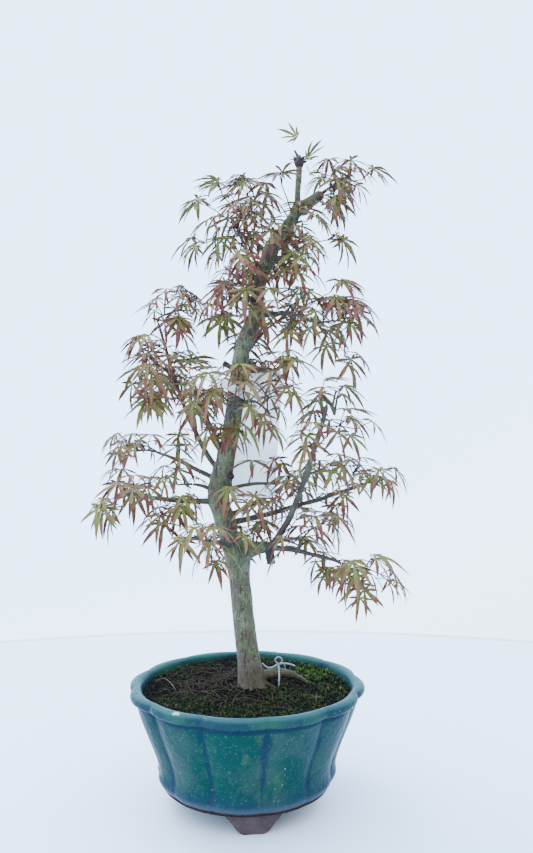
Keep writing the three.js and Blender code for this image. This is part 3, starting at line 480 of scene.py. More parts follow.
# name, carrier, where on it, bearing, reach, climb, arch, swing, thick end, thin end
BOUGHS = [
    ("bough_low_stub", "trunk", 199, -21, 32, 13, 2.8, 0.5, 6.2, 4.6),
    ("bough_right_rising", "bough_low_stub", 1, -29, 52, 119, -19.6, -3.2, 3, 1.9),
    ("bough_right_low", "bough_low_stub", 0.8, -6, 66, -13, 2.9, -4, 2.6, 1.3),
    ("bough_right_near", "bough_low_stub", 0.9, -45, 34, 9, 1.5, 2, 2, 1.3),
    ("bough_left_inner", "trunk", 256, 162, 25, 8, 1.6, 0.5, 2, 1.3),
    ("bough_right_long", "trunk", 230, 4, 125, 35, -2.7, 2.4, 2.6, 1.5),
    ("bough_right_inner", "trunk", 258, -1, 51, 7, 2.8, -1.4, 1.8, 1.2),
    ("bough_right_back", "trunk", 236, 36, 66, 26, -0.6, -6.7, 2.2, 1.3),
    ("bough_left_long", "trunk", 249, -167, 81, 8, -1.6, 1.6, 2.8, 1.4),
    ("bough_left_upper", "trunk", 266, 162, 63, 27, 1.6, 0.2, 2.3, 1.3),
    ("bough_left_tall", "trunk", 273, 165, 62, 137, -20.6, -1.2, 2.5, 1.3),
    ("bough_left_spur", "bough_left_tall", 0.7, -121, 36, 14, 7.2, -1.5, 1.5, 1.1),
    ("bough_centre_left", "trunk", 284, -143, 19, 37, 0, 0.3, 2.2, 1.3),
    ("bough_front", "trunk", 316, -89, 37, 12, 1.8, -2.5, 2, 1.3),
    ("bough_back", "trunk", 375, 89, 44, 11, 0.9, -2.2, 2, 1.3),
    ("bough_front_right", "trunk", 327, -44, 27, 7, 4.3, -0.1, 1.8, 1.2),
    ("bough_high_mid", "trunk", 367, 48, 32, 34, 1.2, 1.3, 2.3, 1.4),
    ("bough_right_spur", "trunk", 363, 15, 31, 2, 0, 0.1, 3, 1.6),
    ("bough_high_right", "trunk", 410, -13, 49, -3, 4.8, 0.9, 2.4, 1.3),
    ("bough_high_left", "trunk", 424, 174, 22, 3, 2.4, -0.3, 1.7, 1.2),
    ("bough_top_spur", "trunk", 461, -33, 20, 2, 0.7, 0.3, 3.2, 1.8),
    ("bough_top_left", "trunk", 466, 166, 24, 20, 3.2, -0.4, 2.3, 1.4),
    ("bough_front_low", "trunk", 209, -112, 42, 10, 0.4, 1.2, 2.5, 1.5),
    ("bough_back_low", "trunk", 220, 96, 38, 1, 1.1, -2.5, 2.3, 1.4),
    ("fork_right", "trunk", 508, -6, 21, 14, -1, 0.2, 4.6, 4.4),
    ("fork_up", "trunk", 505, -14, 2, 43, 2.2, 0, 3.2, 3.8),
]
# name, carrier, space (middle and half-sizes), shoots, leaf size, seed
MASSES = [
    ("leaves_top_tip", "fork_up", (43, 0, 553, 28, 26, 34), 2, 17, 22),
    ("leaves_top_right", "fork_right", (82, 0, 530, 34, 32, 34), 4, 22, 250),
    ("leaves_top_left", "bough_top_left", (-5, 10, 494, 41, 36, 51), 5, 23, 437),
    ("leaves_top_front", "trunk", (19, -26, 474, 30, 22, 27), 3, 20, 221),
    ("leaves_top_spur", "bough_top_spur", (43, -14, 457, 34, 30, 34), 4, 22, 222),
    ("leaves_high_left", "bough_high_left", (-18, 8, 417, 33, 34, 36), 4, 23, 223),
    ("leaves_high_right", "bough_high_right", (74, -8, 398, 41, 38, 39), 4, 24, 224),
    ("leaves_high_mid", "bough_high_mid", (40, 32, 418, 38, 30, 35), 4, 22, 101),
    ("leaves_right_spur", "bough_right_spur", (29, 2, 368, 25, 24, 25), 2, 20, 381),
    ("leaves_left_tip", "bough_left_tall", (-70, 24, 412, 35, 28, 34), 4, 20, 413),
    ("leaves_left_spur", "bough_left_spur", (-85, -18, 348, 33, 30, 32), 4, 24, 259),
    ("leaves_centre_left", "bough_centre_left", (-44, -10, 331, 26, 32, 30), 4, 23, 105),
    ("leaves_front", "bough_front", (-8, -44, 326, 24, 24, 30), 3, 23, 44),
    ("leaves_front_right", "bough_front_right", (18, -24, 320, 23, 18, 34), 3, 22, 169),
    ("leaves_right_upper", "bough_right_rising", (67, -32, 325, 38, 32, 33), 4, 23, 263),
    ("leaves_right_inner", "bough_right_inner", (32, 2, 270, 24, 20, 30), 2, 20, 326),
    ("leaves_right_back", "bough_right_back", (63, 46, 272, 31, 28, 29), 3, 21, 234),
    ("leaves_right_end", "bough_right_long", (111, 14, 262, 32, 28, 21), 3, 23, 359),
    ("leaves_left_upper", "bough_left_upper", (-107, 32, 289, 35, 30, 29), 4, 22, 267),
    ("leaves_left_end", "bough_left_long", (-92, -20, 254, 34, 32, 26), 4, 23, 113),
    ("leaves_front_low", "bough_front_low", (-33, -48, 215, 44, 32, 25), 5, 24, 269),
    ("leaves_back_low", "bough_back_low", (-16, 50, 208, 32, 28, 26), 3, 22, 363),
    ("leaves_right_low", "bough_right_near", (38, -30, 213, 35, 32, 34), 4, 24, 488),
    ("leaves_right_tail", "bough_right_low", (93, -14, 173, 29, 26, 36), 3, 22, 118),
    ("leaves_left_inner", "bough_left_inner", (-58, 10, 263, 31, 26, 37), 3, 22, 367),
    ("leaves_back", "bough_back", (-7, 58, 353, 38, 30, 48), 3, 23, 148),
]
TRUNK_STEMS = {"leaves_top_front": (484, -80)}  # height and bearing of a stem on the trunk
HANGS = {"leaves_top_tip": -60, "leaves_left_tip": 8, "leaves_right_tail": 34}  # least droop
HANG = 22  # of all the others
print(len(BOUGHS), "boughs,", len(MASSES), "tufts")


# %% Small helpers for the rule
def vec(x, y, z):
    return np.array((x, y, z), float)


UP = vec(0, 0, 1)


def unit(a):
    return a / math.sqrt(a @ a)


def across(a, b):
    """The vector square to both."""
    return vec(a[1] * b[2] - a[2] * b[1], a[2] * b[0] - a[0] * b[2], a[0] * b[1] - a[1] * b[0])


def bow(a, c, b, t):
    """A point on a bow from a to b that starts out towards c."""
    return a * (1 - t) ** 2 + c * (2 * t * (1 - t)) + b * t**2


def dice(seed):
    """A seeded die: each call gives the next number from 0 to 1."""
    state = seed * 7919 + 17

    def roll():
        nonlocal state
        state = (state * 1664525 + 1013904223) % 4294967296
        return state / 4294967296

    for _ in range(4):
        roll()
    return roll


def heading(bearing):
    return vec(math.cos(math.radians(bearing)), math.sin(math.radians(bearing)), 0)


def sides_of(way):
    """Two unit vectors square to a direction."""
    side = unit(across(way, UP)) if abs(way[2]) < 0.98 else vec(1, 0, 0)
    return side, across(side, way)


def trunk_at(z):
    """The trunk's middle at a height."""
    last = len(TRUNK_BENDS) - 1
    i = 0
    while i < last - 1 and z > TRUNK_BENDS[i + 1][2]:
        i += 1

    def slope(k, axis):
        a, b = TRUNK_BENDS[max(0, k - 1)], TRUNK_BENDS[min(last, k + 1)]
        return (b[axis] - a[axis]) / (b[2] - a[2])

    a, b = TRUNK_BENDS[i], TRUNK_BENDS[i + 1]
    h = b[2] - a[2]
    t = (z - a[2]) / h
    place = [
        (2 * t**3 - 3 * t * t + 1) * a[axis]
        + (t**3 - 2 * t * t + t) * h * slope(i, axis)
        + (3 * t * t - 2 * t**3) * b[axis]
        + (t**3 - t * t) * h * slope(i + 1, axis)
        for axis in (0, 1)
    ]
    return vec(*place, z)


def trunk_radius(z):
    rise = max(0, (z - ROOT_CROWN) / (TRUNK_TIP - ROOT_CROWN))
    r = TRUNK_FOOT_RADIUS - (TRUNK_FOOT_RADIUS - TRUNK_TIP_RADIUS) * rise**TAPER
    r += FLARE * math.exp(-(z - ROOT_CROWN) / FLARE_HEIGHT)
    return r + sum(extra * math.exp(-(((z - high) / half) ** 2)) for high, extra, half in COLLARS)


class Bow:
    """A tapering limb or twig on a bow from its start to its tip."""

    def __init__(self, start, bend, tip, thick, thin):
        self.start, self.bend, self.tip, self.thick, self.thin = start, bend, tip, thick, thin

    def at(self, t):
        return bow(self.start, self.bend, self.tip, t)

    def along(self, t):
        return unit(self.at(min(1, t + 0.05)) - self.at(t - 0.05))

    def radius(self, t):
        return self.thick + (self.thin - self.thick) * t

    def bars(self, radius):
        return [(self.at(i / 4), self.at((i + 1) / 4), radius) for i in range(4)]


def on_limb(name, where):
    """A place on a bough by its share, or on the trunk by its height."""
    return trunk_at(where) if name == "trunk" else boughs[name].at(where)


boughs = {}
for name, carrier, where, bearing, reach, climb, arch, swing, thick, thin in BOUGHS:
    start, out = on_limb(carrier, where), heading(bearing)
    tip = start + reach * out + climb * UP
    bend = (start + tip) / 2 + 2 * swing * vec(-out[1], out[0], 0) + 2 * arch * UP
    boughs[name] = Bow(start, bend, tip, thick, thin)
print("highest bough tip:", round(max(b.tip[2] for b in boughs.values())), "mm")

# %% [markdown]
# What leaves must keep clear of is a list of rounded bars, each with two ends and a
# radius. NumPy measures a new leaf's bars against all the others at once.

# %% Rounded bars
TAG_WIDTH = 40
TAG_FOOT = vec(4, 17.4, 252)
TAG_LENGTH = 112
TAG_TURN = 4
TAG_LEAN = 3
TAG_SLANT = vec(math.sin(math.radians(TAG_TURN)), -math.sin(math.radians(TAG_LEAN)), 1)
BAND_MIDDLE = (-9.5, 0.4)
BAND_RADIUS = 11.8
BAND_FOOT = 349
BAND_WIDTH = 8


def packed(bars):
    """Bars as three arrays: starts, ends and radii."""
    starts, ends, radii = ([b[k] for b in bars] for k in range(3))
    return np.array(starts).reshape(-1, 3), np.array(ends).reshape(-1, 3), np.array(radii, float)


def bars_near(bars, middle, far):
    return packed([b for b in bars if np.linalg.norm((b[0] + b[1]) / 2 - middle) < far])


def is_clear(bars, others, clearance):
    """True if every bar keeps this far from all the others."""
    if not len(others[2]):
        return True
    p, q, r = packed(bars)
    a, b, s = others
    d1, d2 = (q - p)[:, None], (b - a)[None]
    w = p[:, None] - a[None]
    aa, ee, bb = (d1 * d1).sum(-1), (d2 * d2).sum(-1), (d1 * d2).sum(-1)
    cc, ff = (d1 * w).sum(-1), (d2 * w).sum(-1)
    aa, ee = np.maximum(aa, 1e-12), np.maximum(ee, 1e-12)
    den = aa * ee - bb * bb
    u = np.where(den > 1e-9, np.clip((bb * ff - cc * ee) / np.maximum(den, 1e-9), 0, 1), 0)
    t = (bb * u + ff) / ee
    u = np.where(t < 0, np.clip(-cc / aa, 0, 1), np.where(t > 1, np.clip((bb - cc) / aa, 0, 1), u))
    t = np.clip(t, 0, 1)
    apart = w + d1 * u[..., None] - d2 * t[..., None]
    return bool((np.sqrt((apart**2).sum(-1)) >= r[:, None] + s[None] + clearance).all())


obstacles = []
for z in range(ROOT_CROWN, int(TRUNK_TIP - 3.5) + 1, 6):
    obstacles.append((trunk_at(z), trunk_at(min(z + 6, TRUNK_TIP)), trunk_radius(z + 3)))
for bough in boughs.values():
    obstacles += [(bough.at(i / 8), bough.at((i + 1) / 8), bough.radius(i / 8)) for i in range(8)]
for i in range(6):
    low = TAG_FOOT + vec((i - 2.5) * TAG_WIDTH / 6, 0, 0)
    obstacles.append((low, low + TAG_LENGTH * TAG_SLANT, 1.5))
for i in range(8):
    low = vec(*BAND_MIDDLE, BAND_FOOT) + BAND_RADIUS * heading(45 * i)
    obstacles.append((low, low + BAND_WIDTH * UP, 3))
print(len(obstacles), "bars stand for the limbs and the tag")

# %% One leaf
# angle, and length as a share of the middle lobe's
LEAF_LOBES = [(-112, 0.58), (-55, 0.86), (0, 1), (55, 0.86), (112, 0.58)]
LOBE_ROOT = (0.4, 0.115)
LOBE_TIP_HALF_WIDTH = 0.06
LOBE_DROOP = 0.26
STEEPEST = 64
LEAF_PAIRS = (0.4, 0.72)
STALK_RADIUS = 0.45
TWIG_TIP_RADIUS = 0.8
GOLDEN_TURN = 137.5  # degrees from one shoot to the next


class Leaf:
    """Where a leaf lies: the end of its stalk, its lie, its size and its lobe tips."""

    def __init__(self, root, stalk_way, stalk, way, size):
        self.root, self.size = root, size
        self.heart = root + stalk * unit(stalk_way)
        self.ahead = unit(way)
        self.side = unit(across(self.ahead, UP))
        self.over = unit(across(self.side, self.ahead))
        self.bars = [(root + 0.3 * (self.heart - root), self.heart, STALK_RADIUS + 0.1)]
        self.tips = []
        wide, half = LOBE_ROOT
        for angle, share in LEAF_LOBES:
            a = math.radians(angle)
            out = self.heart + share * size * (math.cos(a) * self.ahead + math.sin(a) * self.side)
            tip = out - LOBE_DROOP * share * share * size * self.over
            middle = self.heart + wide * (tip - self.heart)
            self.bars.append((self.heart, middle, half * size))
            self.bars.append((middle, tip, LOBE_TIP_HALF_WIDTH * size))
            self.tips.append(tip)


# %% Leaves in a rounded space
class Spray:
    """Leaves on twigs, grown by one die within a space, among the bars that are there."""

    attempts, reach, first_bar, clearance, overlap = 8, 1, 1, 0, 6.5

    def __init__(self, seed, size, hang, middle, room, near):
        self.roll, self.seed, self.size, self.hang = dice(seed), seed, size, hang
        self.middle, self.room, self.near = middle, room, near
        self.leaves, self.twigs, self.own = [], [], []

    def spread(self, a):
        return (self.roll() * 2 - 1) * a

    def holds(self, p):
        d = (p - self.middle) / self.room
        return d @ d <= self.reach * self.reach

    def leaf_size(self):
        return self.size * (FINE_LEAF[0] + (FINE_LEAF[1] - FINE_LEAF[0]) * self.roll())

    def throw(self, twig, share, turn, terminal, attempt):
        """One throw of the dice for a leaf on a twig."""
        size, along = self.leaf_size(), twig.along(share)
        side, over = sides_of(along)
        a = math.radians(turn + self.spread(18) + attempt * 37)
        lift = (0.9 if terminal else 0.45) * along + 0.25 * UP
        way_out = unit(lift + (0.55 if terminal else 1) * (math.cos(a) * side + math.sin(a) * over))
        stalk = size * (0.34 + 0.26 * self.roll())
        length = size * (0.82 + 0.3 * self.roll())
        steep = math.radians(self.hang + 46 * self.roll())
        droop = min(steep, math.radians(STEEPEST) - math.asin(way_out[2]))
        level = unit(vec(way_out[0], way_out[1], 0.0001))
        way = unit(math.cos(droop) * level - math.sin(droop) * UP)
        return Leaf(twig.at(share), way_out, stalk, way, length)

    def leaf(self, twig, share, turn, terminal):
        """Try to grow a leaf, and say whether one found room."""
        for attempt in range(self.attempts):
            leaf = self.throw(twig, share, turn, terminal, attempt)
            bars = leaf.bars[self.first_bar :]
            inside = all(self.holds(tip) for tip in leaf.tips[1:4])
            if not (inside and is_clear(bars, self.near, self.clearance)):
                continue
            if is_clear(bars, packed(self.own), -self.overlap):
                self.leaves.append(leaf)
                self.own += leaf.bars
                return True
        return False

    def twig(self, start, along, turn, lengths):
        side, over = sides_of(unit(along))
        a = math.radians(turn)
        way = unit(0.55 * along + math.cos(a) * side + math.sin(a) * over + 0.25 * UP)
        end = start + (lengths[0] + (lengths[1] - lengths[0]) * self.roll()) * way
        if is_clear([((start + end) / 2, end, 0.6)], self.near, 0):
            self.twig_to(start, end, turn)

    def twig_to(self, start, end, turn):
        """A fine twig with a whorl of three, a pair, and high up a second pair nearer its foot."""
        rise = 0.12 * np.linalg.norm(end - start) * UP
        twig = Bow(start, (start + end) / 2 + rise, end, 0.7, 0.45)
        grown = [self.leaf(twig, 1, turn + step, True) for step in (0, 120, 240)]
        grown += [self.leaf(twig, 0.6, turn + step, False) for step in (90, 270)]
        if start[2] > OPEN_BELOW:
            grown += [self.leaf(twig, 0.3, turn + step, False) for step in (0, 180)]
        if any(grown):
            self.twigs.append(twig)
            self.own += twig.bars(0.6)


class Tuft(Spray):
    """The stem, shoots and leaves of one leaf mass, as in the solids."""

    attempts, reach, first_bar, clearance, overlap = 14, 1.06, 0, 0.6, 0.6

    def __init__(self, name, carrier, space, shoots, size, seed):
        middle, room = vec(*space[:3]), vec(*space[3:])
        near = bars_near(obstacles + neighbours, middle, max(room) + 30)
        super().__init__(seed, size, HANGS.get(name, HANG), middle, room, near)
        if carrier == "trunk":
            high, bearing = TRUNK_STEMS[name]
            axis = unit(trunk_at(high + 1) - trunk_at(high - 1))
            out = heading(bearing)
            out = unit(out - (out @ axis) * axis)
            root, thick = trunk_at(high) + (trunk_radius(high) + GAP) * out, 1.2
        else:
            bough = boughs[carrier]
            out = unit(bough.tip - bough.at(0.9))
            root, thick = bough.tip + GAP * out, min(bough.thin * 0.92, 1.7)
        length = max(13, np.linalg.norm(middle - root) * 0.8)
        way = unit(out + 0.65 * (unit(middle - root) - out))
        self.stem = Bow(root, root + 0.4 * length * out, root + length * way, thick, thick * 0.62)
        self.shoots = []
        first = self.roll() * 360
        for k in range(shoots):
            self.grow_shoot(k, shoots, first)
        self.twigs = [self.stem] + self.shoots

    def leaf_size(self):
        return self.size

    def find_shoot(self, k, shoots, first):
        stem = self.stem
        start = stem.at(1 if k == shoots - 1 else 0.5 + 0.5 * (k + 0.3) / shoots)
        for attempt in range(6):
            a = math.radians(first + k * GOLDEN_TURN + attempt * 51 + self.spread(20))
            rise = self.spread(1) * 0.75 + 0.12
            stretch = 0.75 + 0.25 * self.roll()
            level = math.sqrt(max(0, 1 - rise * rise)) * stretch
            free = np.maximum(3, self.room - self.size * 0.8)
            offset = free * vec(math.cos(a) * level, math.sin(a) * level, rise * stretch)
            end = self.middle + offset + self.size * 0.3 * UP
            length = np.linalg.norm(end - start)
            shoot = Bow(start, (start + end) / 2 + 0.16 * length * UP, end, stem.thin, TWIG_TIP_RADIUS)
            if length >= 6 and is_clear(shoot.bars(stem.thin), self.near, self.clearance):
                self.own += shoot.bars(stem.thin)
                return shoot
        return None

    def grow_shoot(self, k, shoots, first):
        shoot = self.find_shoot(k, shoots, first)
        if shoot is None:
            return
        self.shoots.append(shoot)
        turn = self.roll() * 180
        for share in LEAF_PAIRS:
            for step in (0, 180):
                self.leaf(shoot, share, turn + step, False)
            turn += 90
        for step in (0, 120, 240):
            self.leaf(shoot, 1, turn + step, True)


tufts, neighbours = [], []
for row in MASSES:
    tuft = Tuft(*row)
    tufts.append(tuft)
    for leaf in tuft.leaves:
        neighbours += leaf.bars
    for twig in tuft.twigs:
        neighbours += twig.bars(max(twig.thick, twig.thin))
print(sum(len(t.leaves) for t in tufts), "leaves in", len(tufts), "tufts")

# %% [markdown]
# ## Finer growth
#
# The rule goes on to finer twigs. The shoots bear them, and each bough bears short spurs
# along its outer part, the way a maple fills its crown from the inside: thin red twigs
# with a whorl and pairs of leaves. These leaves may lie closer than the first ones and
# stay near the limb they grow on, so the sky shows through between the sprays.

# %% Finer twigs and leaves
FINE_SEED = 500
FINE_SHARES = (0.2, 0.45, 0.7, 0.92)  # places of the finer twigs along a shoot
OPEN_BELOW = 345  # tufts below this height are more open, and show their boughs
OPEN_SHARES = (0.4, 0.85)
FINE_LENGTH = (6, 17)
FINE_LEAF = (0.96, 1.3)  # size as a share of the tuft's leaves
FINE_REACH = vec(1.08, 1.2, 1.06)  # how far past a tuft's rounded space its finer leaves may reach
SINK = 0.12  # how far that space hangs lower, as a share of its half height
SPUR_STEP = 15  # between spurs along a bough
SPUR_FROM = 0.5  # where along a bough they begin
SPUR_LENGTH = (8, 23)
TRUNK_SPURS = 26  # on the upper trunk
TRUNK_SPUR_LENGTH = (15, 38)
TRUNK_SPUR_FOOT = 382
TOP_FAN = unit(vec(-0.87, -0.1, 0.48)), unit(vec(0.48, 0, 0.87)), vec(0, -1, 0)
# longer spurs, each from a place on its limb to its own end
LONG_SPURS = [
    ("bough_top_left", 0.9, (-34, 4, 510)), ("bough_top_left", 0.6, (-22, -8, 516)),
    ("bough_top_left", 1, (-38, 6, 478)), ("trunk", 500, (30, -6, 526)), ("trunk", 497, (18, 10, 527)),
    ("trunk", 490, (51, -10, 493)), ("trunk", 484, (4, -22, 497)), ("trunk", 452, (2, -18, 460)),
    ("trunk", 436, (-1, -22, 434)), ("trunk", 420, (12, -24, 420)), ("trunk", 262, (-1, -22, 252)),
    ("bough_top_spur", 0.9, (69, -12, 476)), ("bough_high_right", 0.55, (56, -10, 438)),
    ("bough_high_right", 0.8, (71, -16, 429)), ("bough_high_right", 1, (84, -8, 379)),
    ("bough_high_left", 0.9, (-46, 8, 436)), ("bough_front_right", 1, (46, -30, 349)),
    ("bough_front_right", 0.7, (34, -26, 359)), ("bough_right_rising", 0.78, (76, -36, 314)),
    ("bough_right_rising", 0.9, (89, -40, 310)), ("bough_centre_left", 0.8, (-49, -16, 358)),
    ("bough_centre_left", 0.6, (-35, -22, 361)), ("bough_front", 0.9, (-27, -40, 347)),
    ("bough_front", 0.7, (-10, -46, 338)), ("bough_front", 0.5, (6, -40, 340)),
    ("bough_centre_left", 1, (-38, -26, 342)), ("bough_centre_left", 0.9, (-62, -14, 346)),
    ("trunk", 334, (-8, -34, 352)), ("bough_high_right", 0.4, (44, -14, 414)),
    ("bough_high_mid", 0.9, (30, 16, 420)), ("bough_top_left", 0.8, (-12, -10, 492)),
    ("bough_left_upper", 0.95, (-112, 24, 300)), ("bough_left_long", 0.95, (-114, -22, 252)),
    ("bough_left_long", 0.5, (-60, -18, 252)), ("bough_right_long", 0.35, (13, -10, 244)),
    ("bough_right_near", 0.9, (62, -30, 232)), ("bough_right_near", 0.6, (43, -30, 219)),
    ("bough_right_low", 1, (112, -16, 189)), ("bough_right_low", 1, (99, -12, 172)),
    ("fork_right", 0.9, (83, -6, 514)), ("fork_right", 1, (101, -4, 533)),
]

sprays = []
taken = obstacles + neighbours


def spray_in(seed, size, hang, middle, room, near_middle, far):
    return Spray(seed + FINE_SEED, size, hang, middle, room, bars_near(taken, near_middle, far))


def keep(spray):
    sprays.append(spray)
    taken.extend(spray.own)


for tuft in tufts:
    if tuft.hang < 0:
        # the last leaves at the top stand alone, a half-open fan that looks to the left
        top_leaf = max(tuft.leaves, key=lambda leaf: leaf.heart[2])
        top_leaf.ahead, top_leaf.side, top_leaf.over = TOP_FAN
        leafy = [s for s in tuft.shoots if np.linalg.norm(s.at(1) - top_leaf.root) < 3]
        tuft.twigs = [tuft.stem] + leafy
        continue
    lower = tuft.middle - SINK * tuft.room[2] * UP
    room, far = tuft.room * FINE_REACH, max(tuft.room) + 30
    spray = spray_in(tuft.seed, tuft.size, tuft.hang, lower, room, tuft.middle, far)
    for shoot in tuft.shoots:
        turn = spray.roll() * 360
        for share in FINE_SHARES if tuft.middle[2] > OPEN_BELOW else OPEN_SHARES:
            turn += GOLDEN_TURN
            spray.twig(shoot.at(share), shoot.along(share), turn, FINE_LENGTH)
    keep(spray)
for k, (name, where, end) in enumerate(LONG_SPURS):
    spray = spray_in(40 + k, 22, 26, vec(*end), vec(34, 34, 40), vec(*end), 60)
    spray.twig_to(on_limb(name, where), vec(*end), 360 * spray.roll())
    keep(spray)
for bough in boughs.values():
    length = np.linalg.norm(bough.tip - bough.start)
    room = vec(1, 1, 1) * (length / 2 + 30)
    spray = spray_in(round(length), 20, 22, bough.at(0.6), room, bough.at(0.5), length / 2 + 50)
    turn = spray.roll() * 360
    gone = SPUR_FROM * length
    while gone < 0.97 * length:
        turn += GOLDEN_TURN
        share = gone / length
        along = unit(bough.at(share + 0.02) - bough.at(share - 0.02))
        spray.twig(bough.at(share), along, turn, SPUR_LENGTH)
        gone += SPUR_STEP * (0.7 + 0.6 * spray.roll())
    keep(spray)
spray = spray_in(7, 20, 22, trunk_at(450), vec(62, 52, 85), trunk_at(450), 150)
for k in range(TRUNK_SPURS):
    high = TRUNK_SPUR_FOOT + (TRUNK_TIP - TRUNK_SPUR_FOOT) * (k + spray.roll()) / TRUNK_SPURS
    spray.twig(trunk_at(high), 0.3 * UP + 0.7 * heading(GOLDEN_TURN * k), 0, TRUNK_SPUR_LENGTH)
keep(spray)
print(sum(len(s.leaves) for s in sprays), "finer leaves on", sum(len(s.twigs) for s in sprays), "twigs")

# %% [markdown]
# ## Trunk and boughs
#
# A maple's bark is thin and smooth, grey-green with a bloom of algae, with long upright
# fibres, ring-shaped bud scars and a knob where each bough leaves. Each limb is a tube
# swept along its curve in small steps, and every point of it is pushed out or in by a
# few smooth noises, so the relief is real and shows at the limb's edge too. At the soil
# the trunk spreads into ridges that run on as surface roots.


# %% Tubes with relief
def tube(path, radii, sides, relief=None):
    """Points and faces of a closed tube; relief(point, out) gives its push in millimetres."""
    path = [vec(*p) for p in path]
    points, faces = [], []
    last = len(path) - 1
    ahead = unit(path[1] - path[0])
    side = unit(across(UP, ahead)) if abs(ahead[2]) < 0.9 else vec(1, 0, 0)
    for k, middle in enumerate(path):
        ahead = unit(path[min(last, k + 1)] - path[max(0, k - 1)])
        side = unit(side - (side @ ahead) * ahead)
        over = across(ahead, side)
        for i in range(sides):
            a = 2 * math.pi * i / sides
            out = math.cos(a) * side + math.sin(a) * over
            point = middle + radii[k] * out
            points.append(point + relief(point, out) * out if relief else point)
    for k in range(last):
        for i in range(sides):
            j = (i + 1) % sides
            faces.append((k * sides + i, k * sides + j, (k + 1) * sides + j, (k + 1) * sides + i))
    faces.append(tuple(range(sides))[::-1])
    faces.append(tuple(last * sides + i for i in range(sides)))
    return points, faces


def join(parts):
    """Several (points, faces) as one."""
    points, faces = [], []
    for more_points, more_faces in parts:
        first = len(points)
        points += list(more_points)
        faces += [tuple(first + i for i in face) for face in more_faces]
    return points, faces


def rough(point, size, stretch=1.0):
    """Smooth noise from -1 to 1 with lumps of a size in millimetres, longer upwards if stretched."""
    return noise.noise(Vector((point[0] / size, point[1] / size, point[2] / size / stretch)))


def hump(away, half):
    """1 at a place, falling to 0 about twice the half-width away from it."""
    return math.exp(-((away / half) ** 2))


# %% Trunk
TRUNK_SIDES = 64
TRUNK_RING = 1.2
TRUNK_SINK = 4  # under the root crown
SCARS = 26
KNOB = 0.75  # height of a bough's knob as a share of the bough's radius

scar_roll = dice(71)
scars = [ROOT_CROWN + (TRUNK_TIP - ROOT_CROWN) * (k + scar_roll()) / SCARS for k in range(SCARS)]
on_trunk = [(boughs[name], trunk_at(where)) for name, carrier, where, *_ in BOUGHS if carrier == "trunk"]
knobs = [(centre, unit(bough.bend - bough.start), bough.thick) for bough, centre in on_trunk]


def trunk_relief(point, out):
    z = point[2]
    push = 0.55 * rough(point, 17, 2.2) + 0.3 * rough(point, 3.2, 6) + 0.1 * rough(point, 1.2, 2)
    for high in scars:
        if abs(z - high) < 3:
            push += 0.28 * hump(z - high, 0.9) * (0.6 + rough(point, 9))
    for centre, way, thick in knobs:
        gone = point - centre
        if abs(gone[2]) < 3 * thick + 4 and gone @ way > 0:
            off = gone - (gone @ way) * way
            push += KNOB * thick * math.exp(-(off @ off) / (1.9 * thick) ** 2)
    above = max(0, z - ROOT_CROWN)
    bearing = math.atan2(out[1], out[0])
    ridges = math.cos(3 * bearing + 0.6) + 0.6 * math.cos(5 * bearing - 1)
    fibrous = math.exp(-above / 16) * 0.8 * rough(point, 1.9, 7)
    return push + math.exp(-above / 9) * (1.3 * ridges + 0.8 * rough(point, 4, 3)) + fibrous


def root_relief(point, out):
    return 0.35 * rough(point, 5) + 0.2 * rough(point, 1.8)


def knotty(point, out):
    return 1.1 * rough(point, 6) + 0.6 * rough(point, 2.4)


heights = np.arange(ROOT_CROWN - TRUNK_SINK, TRUNK_TIP + 0.1, TRUNK_RING)
trunk_path = [trunk_at(max(z, ROOT_CROWN)) + min(0, z - ROOT_CROWN) * UP for z in heights]
limb_parts = [tube(trunk_path, [trunk_radius(z) for z in heights], TRUNK_SIDES, trunk_relief)]
foot = trunk_at(ROOT_CROWN)
for bearing, reach, thick in ROOTS:
    out = heading(bearing)
    ends = foot + 4 * out + 7 * UP, foot + 13 * out + 1.6 * UP, foot + reach * out - 2.5 * UP
    gone = np.linspace(0, 1, 30)
    path = [bow(*ends, t) + 1.2 * rough(ends[2], 9) * t * UP for t in gone]
    limb_parts.append(tube(path, thick * (1 - 0.72 * gone), 14, root_relief))
# the thick root that arches out of the flare on the right
arching = vec(9, -6, 102), vec(34, 2, 108), vec(52, 10, 92)
path = [bow(*arching, t) + 1.1 * rough(40 * t * UP, 7) * UP for t in np.linspace(0, 1, 40)]
limb_parts.append(tube(path, np.linspace(5.4, 1.8, 40), 16, knotty))

# %% Bark
bark = Skin("smooth grey-green maple bark", 0.72, "#54593f")
tree = bark.tree
flat = add_node(tree, "ShaderNodeMapping", inputs={"Vector": bark.place, "Scale": (1, 1, 3.2)}).outputs[0]
grown = add_node(tree, "ShaderNodeMapping", inputs={"Vector": bark.place, "Scale": (1, 1, 0.2)}).outputs[0]
fibres = add_node(tree, NOISE, inputs={"Vector": grown, "Scale": 1 / (1.6 * MM), "Detail": 4}).outputs[0]
inputs = {"Vector": bark.place, "Scale": 1 / (16 * MM), "Detail": 5, "Roughness": 0.6}
bloom = add_node(tree, NOISE, inputs=inputs).outputs[0]
inputs = {"Vector": bark.place, "Scale": 1 / (22 * MM), "Detail": 5, "Roughness": 0.7}
patches = add_node(tree, NOISE, inputs=inputs).outputs[0]
pores = add_node(tree, NOISE, inputs={"Vector": flat, "Scale": 1 / (4.5 * MM), "Detail": 3}).outputs[0]
lichen = add_node(tree, NOISE, inputs={"Vector": flat, "Scale": 1 / (2.6 * MM), "Detail": 2}).outputs[0]
up = add_node(tree, "ShaderNodeSeparateXYZ", inputs={0: bark.place}).outputs[2]
